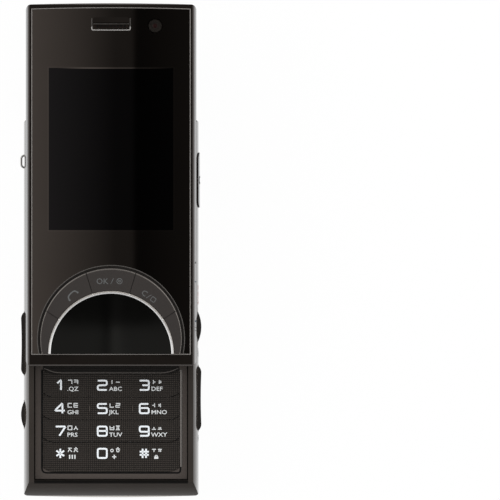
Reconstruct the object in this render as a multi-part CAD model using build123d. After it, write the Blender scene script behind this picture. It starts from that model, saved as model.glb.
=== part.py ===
from build123d import *
from math import atan2, cos, degrees, hypot, pi, radians, sin
import os

# A slide phone lying on its back, slid open. Millimetres. +Z comes out of the screen, +Y runs to the
# earpiece end and +X to the right of someone looking at the screen. The origin is on the flat rear face,
# under the middle of the lower half.

# Clearances
overrun = 3.0  # how far a cut runs past what it cuts
fit_gap = 0.06  # between pieces that are assembled and stay still
slide_gap = 0.1  # between flat faces that slide
press_gap = 0.1  # left under a key at the end of its travel
peg_sides = 8  # small pins, screws, domes and wires are eight-sided

# Lower half, outer form
body_length = 102.4
body_width = 47.3  # at the split line, the widest place
rim_lean = 1.45  # each flank leans in this much from the split line to its rim
ridge_step = 0.15  # the ridge above the battery cover stands this much inside the split line
flank_bow = 0.3  # each flank stands out this much from a straight slope
flank_dip = 0.3  # the silver flank is drawn in between split and ridge
rear_bevel_run = 3.9  # from the ridge in to the flat back
ridge_z = 2.3
front_inset_bottom = 4.2  # from the bottom end to the front face
front_inset_top = 2.3
split_inset_bottom = 0.4
rear_inset_bottom = 2.8
rear_inset_top = 3.6
end_sagitta = 0.45
rear_end_sagitta = 0.55
bottom_bow = 0.5  # the ends bow outward in plan
top_bow = 0.4
body_corner_radius = 1.2
end_trim = 0.15  # the plan outline cuts the side profile this much and runs this wide of the flanks

# Lower half, layers from the back to the front
cover_wall = 0.8
cell_gap = 0.1
cell_thick = 3.4
bay_floor = 0.6
board_thick = 0.8
can_height = 1.1
floor_gap = 0.1
floor_thick = 0.6
channel_depth = 3.1  # from the floor that carries the slide to the rim tops
split_above_board = 0.2

# Front case
rim_thick = 1.4
chin_rim = 0.5
case_wall = 2.5
case_end_wall = 3.2
scoop_length = 13.0  # thumb scoop round the end key
scoop_depth = 0.55
scoop_height = 3.2

# Rear case
rear_wall = 1.0
rear_side_wall = 3.7
rear_end_wall = 2.6
cover_seam_from_head = 37.4
bay_head_wall = 1.1
bay_foot = 9.0
bay_side_inset = 0.3  # from the edges of the flat back
bulge_side_inset = 3.6
bulge_height = 0.7
bulge_start_from_head = 20.0
bulge_ramp = 0.9
bulge_flat_end_from_head = 8.2
bulge_end_from_head = 3.8
bulge_corner_radius = 4.0
speaker_slot_count = 5
speaker_slot_inset = 3.0
speaker_slot_width = 0.8
speaker_slot_pitch = 1.7

# Battery
cover_side_wall = 0.9
cover_foot_wall = 3.2
cell_side_gap = 0.3
cell_corner_radius = 0.9
contact_block_width = 9.0
contact_block_depth = 1.4
contact_block_height = 1.9
contact_blade_width = 1.0
contact_blade_pitch = 2.5
contact_blade_reach = 0.25
contact_blade_height = 0.95

# Main board and what is on it
board_edge_gap = 0.3
can_side_inset = 4.9
can_lengths = (19.0, 12.5)
can_start_from_foot = 42.7
can_pitch_y = 22.0
can_clip = 0.8
speaker_from_middle = 4.2
speaker_from_wall = 1.75
speaker_from_head = 28.6
speaker_length = 11.0
speaker_height = 3.2
speaker_clip = 1.5
speaker_rim = 1.2
speaker_rim_height = 0.4
sim_from_wall = 2.65
sim_from_seam = 1.8
sim_width = 15.8
sim_length = 16.0
sim_height = 1.2
sim_sheet = 0.2
card_thick = 0.7
card_margin = 0.5
camera_from_head = 12.8
camera_side = 9.0
camera_barrel_radius = 3.0
camera_window_radius = 3.5
camera_window_thick = 0.5
camera_window_inset = 0.08
motor_from_wall = 3.0
motor_from_head = 17.7
motor_radius = 1.75
motor_length = 7.0
motor_shaft_radius = 0.3
weight_length = 2.6
weight_gap = 0.3
weight_hub_radius = 0.6
antenna_from_flank = 6.85
antenna_sheet = 0.4
antenna_reach = 3.6
antenna_leg_width = 1.4
microphone_x = 7.0
microphone_radius = 1.3
microphone_height = 1.0
microphone_edge = 1.6

# Data connector and its cover
port_from_head = 16.6
port_length = 15.1
port_height = 4.4
port_z = 5.78
port_depth = 2.0
port_cover_gap = 0.12
port_cover_thick = 1.5
port_cover_proud = 0.35
connector_width = 11.6
connector_height = 2.1
connector_depth = 6.0
connector_wall = 0.35
connector_tongue = 0.7
connector_tongue_length = 3.6

# Keypad
groove = 0.3  # dark line between bezel and rims
bezel_border = 1.95
bezel_foot = 1.9
bezel_header = 6.4
bezel_below_slider = 0.55
row_heights = (8.1, 6.0, 6.1, 6.3)  # from the bottom row up
row_end_rise = 1.35  # the row lines turn up at both ends
row_end_run = 3.2
key_hairline = 0.16  # between rows and round the keypad
key_column_hairline = 0.05
key_travel = 0.3
key_crest_below_slider = 0.38
key_tilt = 0.3  # each row's lower edge stands this much above its upper edge
key_plunger_radius = 1.3
plunger_sides = 6
web_thick = 0.5
web_above_board = 0.6
web_rim = 1.2
web_margin = 0.3  # the opening in the case floor is this much larger than the keypad
dome_radius = 2.0
dome_top_radius = 1.0
dome_height = 0.25

# Side keys: places along the body, lengths and forms
side_key_z = 6.15
side_key_height = 1.7
side_key_gap = 0.15
side_key_end_gap = 0.22
side_key_proud = 0.72  # beyond the widest flank
side_key_fall = 0.9  # from its crest to its pointed ends
side_key_flange = 0.4
side_key_flange_extra = 0.6
side_key_travel = 0.4
side_key_corner_radius = 0.5
end_key_from_foot = 46.1
end_key_length = 8.1
left_key_from_foot = 22.4
left_key_length = 7.4
camera_rocker_from_foot = 26.8
camera_rocker_length = 17.6
volume_rocker_from_foot = 41.6
volume_rocker_length = 17.1
rocker_shoulder = 1.8  # from its pointed ends to full height
rocker_waist_depth = 0.15
rocker_flange_length = 5.0
switch_length = 3.0
switch_depth = 1.0
switch_height = 0.9
switch_nub_half = 0.4
switch_nub = 0.25
rocker_switch_offset = 6.0

# Strap loop and oval plug
strap_from_head = 11.6
strap_z = 6.3
strap_span = 3.3
strap_proud = 0.95  # beyond the widest flank
strap_wire_radius = 0.28
strap_bend_radius = 0.9
strap_root = 1.5
plug_from_head = 4.8
plug_length = 4.0
plug_width = 0.95
plug_depth = 0.5
plug_proud = 0.08

# Screws
case_screws_from_foot = (11.0, 59.2)
case_screw_inset = 1.75  # from the widest flank
case_screw_radius = 0.7
case_screw_head_radius = 1.15
case_screw_head = 0.8
case_screw_bite = 2.6
plate_screw_radius = 0.5
plate_screw_head_radius = 1.0
plate_screw_head = 0.35
plate_screw_bite = 0.4

# Slide mechanism
base_sheet = 0.5
base_side_inset = 2.9  # from the channel's walls
base_head_inset = 4.1
base_start_gap = 0.5  # from the bezel to the plate
rail_wall = 0.6
rail_lip = 2.0
rail_lip_thick = 0.45
flange_floor_gap = 0.45
flange_thick = 0.5
flange_lip_gap = 0.2
flange_width = 2.0
flange_side_gap = 0.3
neck_thick = 0.6
keel_gap = 0.3  # from the lips to the slider's underside
moving_sheet = 0.5
moving_start = 37.6  # from the slider's lower end
moving_head_inset = 2.9
plate_screw_side_inset = 8.9
plate_screw_inset = 6.0
spring_pin_radius = 0.6
spring_pin_height = 1.05
spring_base_inset = 5.5  # from the fixed plate's edge
spring_base_start = 8.0  # from the moving plate's lower end, slid open
spring_moving_x = 4.4
spring_moving_start = 11.0
spring_wire = 0.4  # square wire
spring_eye_radius = 0.9
spring_leg = 13.0
spring_eye_turn = 200.0  # degrees
flex_half_width = 2.6
flex_sheet = 0.14
flex_layer_gap = 0.16
flex_base_start = 14.9  # from the fixed plate's lower end
flex_slider_start = 16.0  # from the moving plate's lower end
flex_fold_start = 22.0
flex_slot = 1.2

# Upper half, outer form
slider_side_inset = 0.62  # inside the lower half's widest flank
slider_closed_inset = 4.4  # from the lower half's bottom end, slid shut
slider_head_inset = 0.1  # from the lower half's top end, slid shut
slide_travel = 31.2
slider_corner_radius = 1.5
slider_top_bow = 0.35
slider_front_bevel = 0.35
slider_side_lean = 0.6  # each side leans in this much towards the front
slider_top_setback = 1.9  # the ends draw in towards the back
slider_bottom_setback = 1.1
end_curve_share = 0.25  # of the setback, how far the curved ends stand out from a straight slope
slider_side_chamfer = 0.45
wing_gap = 0.3  # over the rim tops
keel_side_gap = 0.5
keel_end_inset = 0.9

# Upper half, layers
keel_floor = 0.9
wing_floor = 0.9
slider_board_thick = 0.6
panel_thick = 3.0
panel_gap = 0.1
window_thick = 1.0
ledge_thick = 0.7

# Slider frame and window
window_corner_radius = 0.55
frame_border = 1.73
frame_top_border = 1.3
chin_bar = 3.2
ledge_width = 1.1
slider_wall = 1.1
slider_end_wall = 1.1  # from the keel's ends
slider_board_edge_gap = 0.2
panel_side_inset = 2.9  # from the window's edges
panel_start = 33.0  # from the slider's lower end
panel_head_inset = 12.9
panel_recess = 0.3
panel_rim_width = 1.2
panel_foot = 6.0

# Earpiece and front camera
earpiece_from_top = 6.15
earpiece_slot_width = 9.4
earpiece_slot_height = 1.15
earpiece_scoop_width = 10.6
earpiece_scoop_height = 3.9
earpiece_scoop_shift = 0.75
earpiece_scoop_depth = 0.55
grille_thick = 0.35
grille_slit_count = 9
grille_slit_width = 0.5
grille_slit_height = 0.65
grille_depth = 0.62
receiver_width = 11.0
receiver_length = 5.4
receiver_corner_radius = 1.8
receiver_shift = 1.9  # the capsule sits lower than its slot
receiver_height = 2.6
front_camera_from_side = 11.13
front_camera_from_top = 6.1
front_camera_side = 4.2
front_camera_height = 2.2
front_camera_barrel_radius = 1.9
front_camera_lens_radius = 1.1
front_camera_lens_depth = 0.35

# Arch of keys
arch_side_margin = 1.4  # from the window's edges
arch_centre_rise = 4.05  # the outer arcs are centred above the straight base
arch_bezel_width = 0.84
arch_foot_width = 2.06
arch_ring_width = 0.76
arch_pad_gap = 0.08
arch_hairline = 0.14
arch_ok_half_angle = 17.1  # degrees
arch_side_half_angle = 56.4  # degrees
arch_key_proud = 0.95
arch_key_fall = 0.35
arch_key_bevel = 0.35
arch_key_bevel_height = 0.5
arch_ring_proud = 0.75
arch_ring_bevel = 0.32
arch_pad_proud = 0.5
arch_pad_dish = 0.45
arch_bezel_sunk = 0.15
arch_tray_thick = 0.8
arch_tray_wall = 0.8
arch_travel = 0.25
arch_plunger_radius = 0.6
arch_dome_radius = 1.4
arch_dome_top_radius = 0.7
arch_dome_height = 0.2
arch_side_dome_angle = 36.75  # degrees
half_turn = 180.0  # degrees

# Levels worked out from the layers
cell_z = cover_wall + cell_gap
bay_z = cell_z + cell_thick + cell_gap
board_z = bay_z + bay_floor
board_top_z = board_z + board_thick
floor_z = board_top_z + can_height + floor_gap
channel_z = floor_z + floor_thick
rim_top_z = channel_z + channel_depth
split_z = board_z + split_above_board
rail_floor_z = channel_z + base_sheet
flange_z = rail_floor_z + flange_floor_gap
lip_z = flange_z + flange_thick + flange_lip_gap
lip_top_z = lip_z + rail_lip_thick
keel_z = lip_top_z + keel_gap
wing_z = rim_top_z + wing_gap
moving_z = keel_z - moving_sheet
slider_board_z = keel_z + keel_floor
slider_board_top_z = slider_board_z + slider_board_thick
panel_top_z = slider_board_top_z + panel_thick
window_z = panel_top_z + panel_gap
front_z = window_z + window_thick
seam_z = window_z - ledge_thick
bezel_top_z = keel_z - bezel_below_slider
key_crest_z = keel_z - key_crest_below_slider
web_z = board_top_z + web_above_board
key_bottom_z = web_z + web_thick + key_travel + press_gap
dome_top_z = board_top_z + dome_height
ring_bottom_z = window_z - fit_gap
tray_z = ring_bottom_z - arch_tray_thick

# Widths worked out from the body's
rim_width = body_width - 2 * rim_lean
ridge_width = body_width - 2 * ridge_step
rear_flat_width = ridge_width - 2 * rear_bevel_run
channel_width = rim_width - 2 * rim_thick
slider_width = body_width - 2 * slider_side_inset
bezel_half_width = channel_width / 2 - groove
keypad_half_width = bezel_half_width - bezel_border
key_pitch = 2 * keypad_half_width / 3  # three columns
bay_half_width = rear_flat_width / 2 - bay_side_inset
bulge_half_width = rear_flat_width / 2 - bulge_side_inset
rear_inner_x = body_width / 2 - rear_side_wall
case_inner_x = body_width / 2 - case_wall
side_key_reach = body_width / 2 + side_key_proud
side_key_inner_x = case_inner_x - slide_gap - side_key_flange
strap_reach = body_width / 2 + strap_proud
board_half_width = side_key_inner_x - side_key_travel - press_gap
can_half_width = board_half_width - can_side_inset
antenna_half_width = body_width / 2 - antenna_from_flank
speaker_width = rear_inner_x - speaker_from_wall - speaker_from_middle
speaker_x = speaker_from_middle + speaker_width / 2
sim_x = sim_from_wall + sim_width / 2 - rear_inner_x
motor_x = motor_from_wall - rear_inner_x
base_half_width = channel_width / 2 - base_side_inset
plate_screw_x = base_half_width - plate_screw_side_inset
spring_base_x = base_half_width - spring_base_inset
keel_half_width = channel_width / 2 - keel_side_gap
slider_board_half_width = keel_half_width - slider_wall - slider_board_edge_gap
window_half_width = slider_width / 2 - frame_border
panel_half_width = window_half_width - panel_side_inset
front_camera_x = slider_width / 2 - front_camera_from_side
arch_outer_radius = window_half_width - arch_side_margin
arch_key_radius = arch_outer_radius - arch_bezel_width
arch_ring_radius = arch_key_radius - arch_foot_width

# Places along the body worked out from its two ends
body_foot_y = -body_length / 2
body_head_y = body_length / 2
slider_length = body_length - slider_closed_inset - slider_head_inset
chin_y = body_foot_y + front_inset_bottom + chin_rim
bezel_foot_y = chin_y + groove
keypad_foot_y = bezel_foot_y + bezel_foot
keypad_head_y = keypad_foot_y + sum(row_heights)
bezel_head_y = keypad_head_y + bezel_header
cover_seam_y = body_head_y - cover_seam_from_head
bulge_start_y = body_head_y - bulge_start_from_head
bulge_flat_end_y = body_head_y - bulge_flat_end_from_head
bulge_end_y = body_head_y - bulge_end_from_head
can_start_y = body_foot_y + can_start_from_foot
speaker_y = body_head_y - speaker_from_head
sim_y = cover_seam_y + sim_from_seam + sim_length / 2
camera_y = body_head_y - camera_from_head
motor_y = body_head_y - motor_from_head
port_y = body_head_y - port_from_head
strap_y = body_head_y - strap_from_head
plug_y = body_head_y - plug_from_head
end_key_y = body_foot_y + end_key_from_foot
left_key_y = body_foot_y + left_key_from_foot
camera_rocker_y = body_foot_y + camera_rocker_from_foot
volume_rocker_y = body_foot_y + volume_rocker_from_foot
slider_foot_y = body_foot_y + slider_closed_inset + slide_travel
slider_head_y = slider_foot_y + slider_length
base_foot_y = bezel_head_y + base_start_gap
base_head_y = body_head_y - base_head_inset
moving_foot_y = slider_foot_y + moving_start
moving_head_y = slider_head_y - moving_head_inset
spring_base_y = moving_foot_y + spring_base_start
spring_moving_y = moving_foot_y + spring_moving_start
flex_base_y = base_foot_y + flex_base_start
flex_slider_y = moving_foot_y + flex_slider_start
flex_fold_y = moving_foot_y + flex_fold_start
board_foot_y = body_foot_y + case_end_wall + board_edge_gap
board_head_y = body_head_y - case_end_wall - board_edge_gap
window_foot_y = slider_foot_y + chin_bar
window_head_y = slider_head_y - frame_top_border
arch_centre_y = window_foot_y + arch_centre_rise
arch_base_y = window_foot_y + fit_gap
keel_foot_y = slider_foot_y + slider_bottom_setback + keel_end_inset
keel_head_y = slider_head_y - slider_top_setback - keel_end_inset
slider_inner_foot_y = keel_foot_y + slider_end_wall
slider_inner_head_y = keel_head_y - slider_end_wall
earpiece_y = slider_head_y - earpiece_from_top
front_camera_y = slider_head_y - front_camera_from_top


# Shapes that are used again and again
def block(x_ends, y_ends, z_ends):
    """A box between two x, two y and two z values."""
    spans = (x_ends, y_ends, z_ends)
    middle = [(ends[0] + ends[1]) / 2 for ends in spans]
    return Pos(*middle) * Box(*[ends[1] - ends[0] for ends in spans])


def prism_x(face, x_ends):
    """A face drawn in y and z, drawn out between two x values."""
    return extrude(Plane.YZ.offset(x_ends[0]) * face, x_ends[1] - x_ends[0])


def prism_y(face, y_ends):
    """A face drawn in x and z, drawn out between two y values."""
    return extrude(Plane.XZ.offset(-y_ends[1]) * face, y_ends[1] - y_ends[0])


def prism_z(face, z_ends):
    """A face drawn in x and y, drawn out between two z values."""
    return extrude(Plane.XY.offset(z_ends[0]) * face, z_ends[1] - z_ends[0])


def post(radius, place, z_ends):
    """An upright cylinder at a place in x and y."""
    height = z_ends[1] - z_ends[0]
    return Pos(place[0], place[1], (z_ends[0] + z_ends[1]) / 2) * Cylinder(radius, height)


def rod_y(radius, y_ends, x, z):
    """A cylinder along y."""
    height = y_ends[1] - y_ends[0]
    return Pos(x, (y_ends[0] + y_ends[1]) / 2, z) * (Rot(90, 0, 0) * Cylinder(radius, height))


def rounded(width, length, radius, place):
    """A rounded rectangle in x and y about a place."""
    return Pos(*place) * RectangleRounded(width, length, radius)


def clipped(width, length, clip, place):
    """A rectangle in x and y about a place, with its corners clipped off."""
    face = Pos(*place) * Rectangle(width, length)
    return chamfer(face.vertices(), clip)


def peg(radius, place, z_ends):
    """An upright eight-sided post, for small pins and screws."""
    return prism_z(Pos(*place) * RegularPolygon(radius, peg_sides), z_ends)


def dome(radius, top_radius, height, place, z):
    """A shallow eight-sided snap dome that stands on a level."""
    foot = Plane.XY.offset(z) * (Pos(*place) * RegularPolygon(radius, peg_sides))
    draw_in = (radius - top_radius) * cos(pi / peg_sides)
    return extrude(foot, height, taper=degrees(atan2(draw_in, height)))


def bowed(half_width, y_ends, bows, radius):
    """A rectangle in x and y whose two ends bow outward."""
    low, high = y_ends
    foot = [(-half_width, low + bows[0]), (half_width, low + bows[0])]
    head = [(half_width, high - bows[1]), (-half_width, high - bows[1])]
    edges = [Line(foot[1], head[0]), Line(head[1], foot[0])]
    for ends, bow in ((foot, bows[0]), (head, bows[1])):
        edges.append(SagittaArc(ends[0], ends[1], -bow) if bow else Line(ends[0], ends[1]))
    face = make_face(Curve() + edges)
    return fillet(face.vertices(), radius)


def save(shape, name):
    """Write one piece, or one group of like pieces, to its own file."""
    export_step(shape, f"parts/{name}.step")


# Lower half, outer form
def body_side_profile():
    """The lower half seen from its side: straight front and back, curved ends."""
    rear_foot = (body_foot_y + rear_inset_bottom, 0)
    rear_head = (body_head_y - rear_inset_top, 0)
    ridge_head = (body_head_y + end_trim, ridge_z)
    split_head = (body_head_y + end_trim, split_z)
    front_head = (body_head_y - front_inset_top, rim_top_z)
    front_foot = (body_foot_y + front_inset_bottom, rim_top_z)
    split_foot = (body_foot_y + split_inset_bottom, split_z)
    ridge_foot = (body_foot_y - end_trim, ridge_z)
    edges = [
        Line(rear_foot, rear_head),
        SagittaArc(rear_head, ridge_head, -rear_end_sagitta),
        Line(ridge_head, split_head),
        SagittaArc(split_head, front_head, -end_sagitta),
        Line(front_head, front_foot),
        SagittaArc(front_foot, split_foot, -end_sagitta),
        Line(split_foot, ridge_foot),
        SagittaArc(ridge_foot, rear_foot, -rear_end_sagitta),
    ]
    return make_face(Curve() + edges)


def body_cross_section():
    """The lower half cut across: bowed flanks, a ridge, then a bevel to the flat back."""
    dip_z = (split_z + ridge_z) / 2
    dip_half = (body_width + ridge_width) / 4 - flank_dip
    right = [
        (body_width / 2, split_z),
        (dip_half, dip_z),
        (ridge_width / 2, ridge_z),
        (rear_flat_width / 2, 0),
    ]
    left = [(-x, z) for x, z in reversed(right)]
    rims = [(-rim_width / 2, rim_top_z), (rim_width / 2, rim_top_z)]
    edges = [
        Polyline(*right, *left),
        SagittaArc(left[-1], rims[0], flank_bow),
        Line(rims[0], rims[1]),
        SagittaArc(rims[1], right[0], flank_bow),
    ]
    return make_face(Curve() + edges)


def body_form():
    """The lower half's outside as one solid, before it is parted into its cases."""
    half = body_width / 2 + end_trim
    plan = bowed(half, (body_foot_y, body_head_y), (bottom_bow, top_bow), body_corner_radius)
    form = prism_x(body_side_profile(), (-body_width, body_width))
    form &= prism_y(body_cross_section(), (body_foot_y - overrun, body_head_y + overrun))
    return form & prism_z(plan, (-overrun, rim_top_z + overrun))


def layer(form, z_ends):
    """The part of the lower half's form between two levels."""
    wide = (-body_width, body_width)
    return form & block(wide, (-body_length, body_length), z_ends)


# Side keys
def side_key_blank(side, y, length, gap, end_gap, x_ends):
    """A rounded bar along y for one flank, or the slot for it when gaps are given."""
    height = side_key_height + 2 * gap
    bar = RectangleRounded(length + 2 * end_gap, height, side_key_corner_radius)
    return Pos(0, y, side_key_z) * prism_x(bar, tuple(sorted((side * x_ends[0], side * x_ends[1]))))


def side_slot(side, y, length):
    """The slot that a side key moves in, open down to the split line."""
    x_ends = (case_inner_x - overrun, side_key_reach + overrun)
    slot = side_key_blank(side, y, length, side_key_gap, side_key_end_gap, x_ends)
    half = length / 2 + side_key_end_gap
    x_span = tuple(sorted((side * x_ends[0], side * x_ends[1])))
    return slot + block(x_span, (y - half, y + half), (split_z - overrun, side_key_z))


def side_flange(side, y, length):
    """The foot inside the case that keeps a side key from falling out."""
    x_span = tuple(sorted((side * side_key_inner_x, side * (case_inner_x - slide_gap))))
    low = side_key_z - side_key_height / 2
    high = floor_z - slide_gap
    return block(x_span, (y - length / 2, y + length / 2), (low, high))


def side_key_body(side, y, length, shoulder):
    """The part of a side key that runs through the wall; seen from the front its ends are pointed."""
    half = length / 2
    level = half - shoulder
    inner = side * side_key_inner_x
    tip = side * (side_key_reach - side_key_fall)
    crest = side * side_key_reach
    edges = [Polyline((tip, y + half), (inner, y + half), (inner, y - half), (tip, y - half))]
    for end in (-1, 1):
        edges.append(TangentArc((crest, y + end * level), (tip, y + end * half), tangent=(0, end)))
    if level > 0:
        waist = side * (side_key_reach - rocker_waist_depth)
        edges.append(ThreePointArc((crest, y - level), (waist, y), (crest, y + level)))
    plan = make_face(Curve() + edges)
    z_span = (side_key_z - side_key_height, side_key_z + side_key_height)
    return prism_z(plan, z_span) & side_key_blank(side, y, length, 0, 0, (side_key_inner_x, side_key_reach))


def push_key(side, y, length):
    """A side key that is pressed straight in."""
    body = side_key_body(side, y, length, length / 2)
    return body + side_flange(side, y, length + 2 * side_key_flange_extra)


def rocker_key(side, y, length):
    """A side key with two lobes and a waist, which tips to either end."""
    return side_key_body(side, y, length, rocker_shoulder) + side_flange(side, y, rocker_flange_length)


def side_switches():
    """Tact switches on the board's edges behind the side keys."""
    places = [(1, end_key_y), (-1, left_key_y)]
    for side, y in ((1, camera_rocker_y), (-1, volume_rocker_y)):
        places += [(side, y - rocker_switch_offset), (side, y + rocker_switch_offset)]
    solids = []
    for side, y in places:
        outer = board_half_width - switch_nub
        x_span = tuple(sorted((side * outer, side * (outer - switch_depth))))
        z_span = (board_top_z, board_top_z + switch_height)
        body = block(x_span, (y - switch_length / 2, y + switch_length / 2), z_span)
        nub_x = tuple(sorted((side * outer, side * board_half_width)))
        nub_z = (board_top_z + switch_height / 2 - switch_nub_half, board_top_z + switch_height)
        solids.append(body + block(nub_x, (y - switch_nub_half, y + switch_nub_half), nub_z))
    return Compound(children=solids)


# Port, strap loop, plug and screws
def port_prism(gap, x_ends):
    """The stadium outline of the port through the right flank."""
    face = SlotOverall(port_length - 2 * gap, port_height - 2 * gap)
    return Pos(0, port_y, port_z) * prism_x(face, x_ends)


def port_cover(form):
    """The soft cover, which follows the flank and stands a little proud of it."""
    prism = port_prism(port_cover_gap, (body_width / 2 - port_cover_thick, body_width))
    return prism & (Pos(port_cover_proud, 0, 0) * form)


def data_connector():
    """A metal shell with a contact tongue, on the board's edge behind the port cover."""
    outer = body_width / 2 - port_depth - fit_gap
    x_ends = (outer - connector_depth, outer)
    y_ends = (port_y - connector_width / 2, port_y + connector_width / 2)
    z_ends = (port_z - connector_height / 2, port_z + connector_height / 2)
    shell = block(x_ends, y_ends, z_ends)
    wall = connector_wall
    mouth_y = (y_ends[0] + wall, y_ends[1] - wall)
    shell -= block((x_ends[0] + wall, outer + overrun), mouth_y, (z_ends[0] + wall, z_ends[1] - wall))
    tongue_x = (x_ends[0], x_ends[0] + connector_tongue_length)
    tongue_y = (mouth_y[0] + wall, mouth_y[1] - wall)
    tongue_z = (port_z - connector_tongue / 2, port_z + connector_tongue / 2)
    return shell + block(tongue_x, tongue_y, tongue_z)


def connector_pocket():
    """The space that the connector takes out of the board and the cases."""
    box = data_connector().bounding_box()
    y_span = (box.min.Y - fit_gap, box.max.Y + fit_gap)
    z_span = (box.min.Z - fit_gap, box.max.Z + fit_gap)
    return block((box.min.X - fit_gap, box.max.X + overrun), y_span, z_span)


def strap_path():
    """The bent wire's middle line, out of the left flank and back."""
    inner = -(body_width / 2 - strap_root)
    outer = -(strap_reach - strap_wire_radius)
    low = strap_y - strap_span / 2
    high = strap_y + strap_span / 2
    points = [(inner, low, strap_z), (outer, low, strap_z), (outer, high, strap_z), (inner, high, strap_z)]
    return FilletPolyline(*points, radius=strap_bend_radius)


def strap_loop(radius):
    """The strap loop as a round wire, or the holes for it when the radius is larger."""
    path = strap_path()
    return sweep(Plane(path @ 0, z_dir=path % 0) * RegularPolygon(radius, peg_sides), path)


def bevel_plane():
    """A plane on the middle of the right rear bevel, at the oval plug, facing outward."""
    length = hypot(rear_bevel_run, ridge_z)
    middle = ((ridge_width + rear_flat_width) / 4, plug_y, ridge_z / 2)
    return Plane(middle, x_dir=(0, 1, 0), z_dir=(ridge_z / length, 0, -rear_bevel_run / length))


def bevel_plug(gap, proud):
    """The oval plug in the bevel, or its recess when a gap is given."""
    face = SlotOverall(plug_length + 2 * gap, plug_width + 2 * gap)
    return extrude(bevel_plane().offset(-plug_depth - gap) * face, plug_depth + gap + proud)


def case_screw_places():
    """Where the four case screws stand."""
    x = body_width / 2 - case_screw_inset
    return [(side * x, body_foot_y + start) for side in (-1, 1) for start in case_screws_from_foot]


def case_screws(gap):
    """Four screws from the rear case into the front case, or their holes when a gap is given."""
    head_z = ridge_z + slide_gap + fit_gap
    solids = []
    for place in case_screw_places():
        head_low = head_z - (overrun if gap else 0)
        head = peg(case_screw_head_radius + gap, place, (head_low, head_z + case_screw_head))
        shank = peg(case_screw_radius + gap, place, (head_z, split_z + case_screw_bite + gap))
        solids.append(head + shank)
    return solids


# Front case and keypad
def row_line(y):
    """One line across the keypad, straight in the middle and turned up at both ends, left to right."""
    half = keypad_half_width
    bend = half - row_end_run
    left = TangentArc((-bend, y), (-half, y + row_end_rise), tangent=(-1, 0))
    right = TangentArc((bend, y), (half, y + row_end_rise), tangent=(1, 0))
    return [left, Line((-bend, y), (bend, y)), right]


def keypad_strip(low, high):
    """The face between two row lines."""
    half = keypad_half_width
    sides = [Line((x, low + row_end_rise), (x, high + row_end_rise)) for x in (-half, half)]
    return make_face(Curve() + row_line(low) + row_line(high) + sides)


def keypad_floor_opening():
    """The opening in the case floor under the keys."""
    half = keypad_half_width + web_margin
    return (-half, half), (keypad_foot_y - web_margin, keypad_head_y + row_end_rise + web_margin)


def front_case(form):
    """The dark case with its two rims, the channel between them and the floor of the slide."""
    case = layer(form, (split_z, rim_top_z + overrun))
    channel_x = (-channel_width / 2, channel_width / 2)
    case -= block(channel_x, (chin_y, body_head_y + overrun), (channel_z, rim_top_z + overrun))
    inner_y = (body_foot_y + case_end_wall, body_head_y - case_end_wall)
    case -= block((-case_inner_x, case_inner_x), inner_y, (split_z - overrun, floor_z))
    opening_x, opening_y = keypad_floor_opening()
    case -= block(opening_x, opening_y, (floor_z - overrun, channel_z + overrun))
    case -= flex_slot_cut(flex_base_y, (floor_z - overrun, channel_z + overrun))
    case -= side_slot(1, end_key_y, end_key_length)
    case -= side_slot(1, camera_rocker_y, camera_rocker_length)
    case -= side_slot(-1, left_key_y, left_key_length)
    case -= side_slot(-1, volume_rocker_y, volume_rocker_length)
    case -= thumb_scoop()
    case -= port_prism(0, (body_width / 2 - port_depth, body_width))
    case -= connector_pocket()
    case -= strap_loop(strap_wire_radius + fit_gap)
    return case - plate_screws(fit_gap) - case_screws(fit_gap)


def thumb_scoop():
    """A shallow hollow in the right flank that gives a thumb room at the end key."""
    radius = (scoop_length**2 / 4 + scoop_depth**2) / (2 * scoop_depth)
    x = body_width / 2 - scoop_depth + radius
    return post(radius, (x, end_key_y), (side_key_z - scoop_height / 2, side_key_z + scoop_height / 2))


def keypad_bezel():
    """The lighter frame round the keys; its upper part lies under the slider."""
    width = (-bezel_half_width, bezel_half_width)
    frame = block(width, (bezel_foot_y, bezel_head_y), (channel_z, bezel_top_z))
    opening = keypad_strip(keypad_foot_y, keypad_head_y)
    return frame - prism_z(opening, (channel_z - overrun, bezel_top_z + overrun))


def key_places():
    """Name, column middle and row lines of the twelve keys, from the bottom row up."""
    names = (("star", "0", "hash"), ("7", "8", "9"), ("4", "5", "6"), ("1", "2", "3"))
    low = keypad_foot_y
    places = []
    for row, height in zip(names, row_heights):
        for column, name in enumerate(row):
            places.append((name, (column - 1) * key_pitch, low, low + height))
        low += height
    return places


def plunger(radius, place, z_ends):
    """A six-sided post under a key, or the hole for one."""
    return prism_z(Pos(*place) * RegularPolygon(radius, plunger_sides), z_ends)


def plunger_place(x, low, high):
    """The middle of a key, above its dome."""
    return x, (low + high) / 2


def key_top(x, low, high):
    """One key top: shingled, its lower edge raised, with a plunger below."""
    half = keypad_half_width
    gap = key_hairline
    column = (key_pitch - key_column_hairline) / 2
    left = -half - overrun if x < 0 else x - column
    right = half + overrun if x > 0 else x + column
    strip = keypad_strip(low + gap / 2, high - gap / 2) & keypad_column(left, right)
    strip = strip & keypad_column(-half + gap, half - gap)
    slope = make_face(Polyline(
        (low, key_bottom_z),
        (high + row_end_rise, key_bottom_z),
        (high + row_end_rise, key_crest_z - key_tilt),
        (low, key_crest_z),
        close=True,
    ))
    top = prism_z(strip, (key_bottom_z, key_crest_z)) & prism_x(slope, (-half, half))
    plunger_z = (dome_top_z + key_travel + press_gap / 2, key_bottom_z)
    return top + plunger(key_plunger_radius, plunger_place(x, low, high), plunger_z)


def keypad_column(left, right):
    """A face over one column of the keypad, past its ends."""
    length = keypad_head_y - keypad_foot_y + 2 * row_end_rise + 2 * overrun
    middle = (keypad_head_y + keypad_foot_y) / 2
    return Pos((left + right) / 2, middle) * Rectangle(right - left, length)


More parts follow.
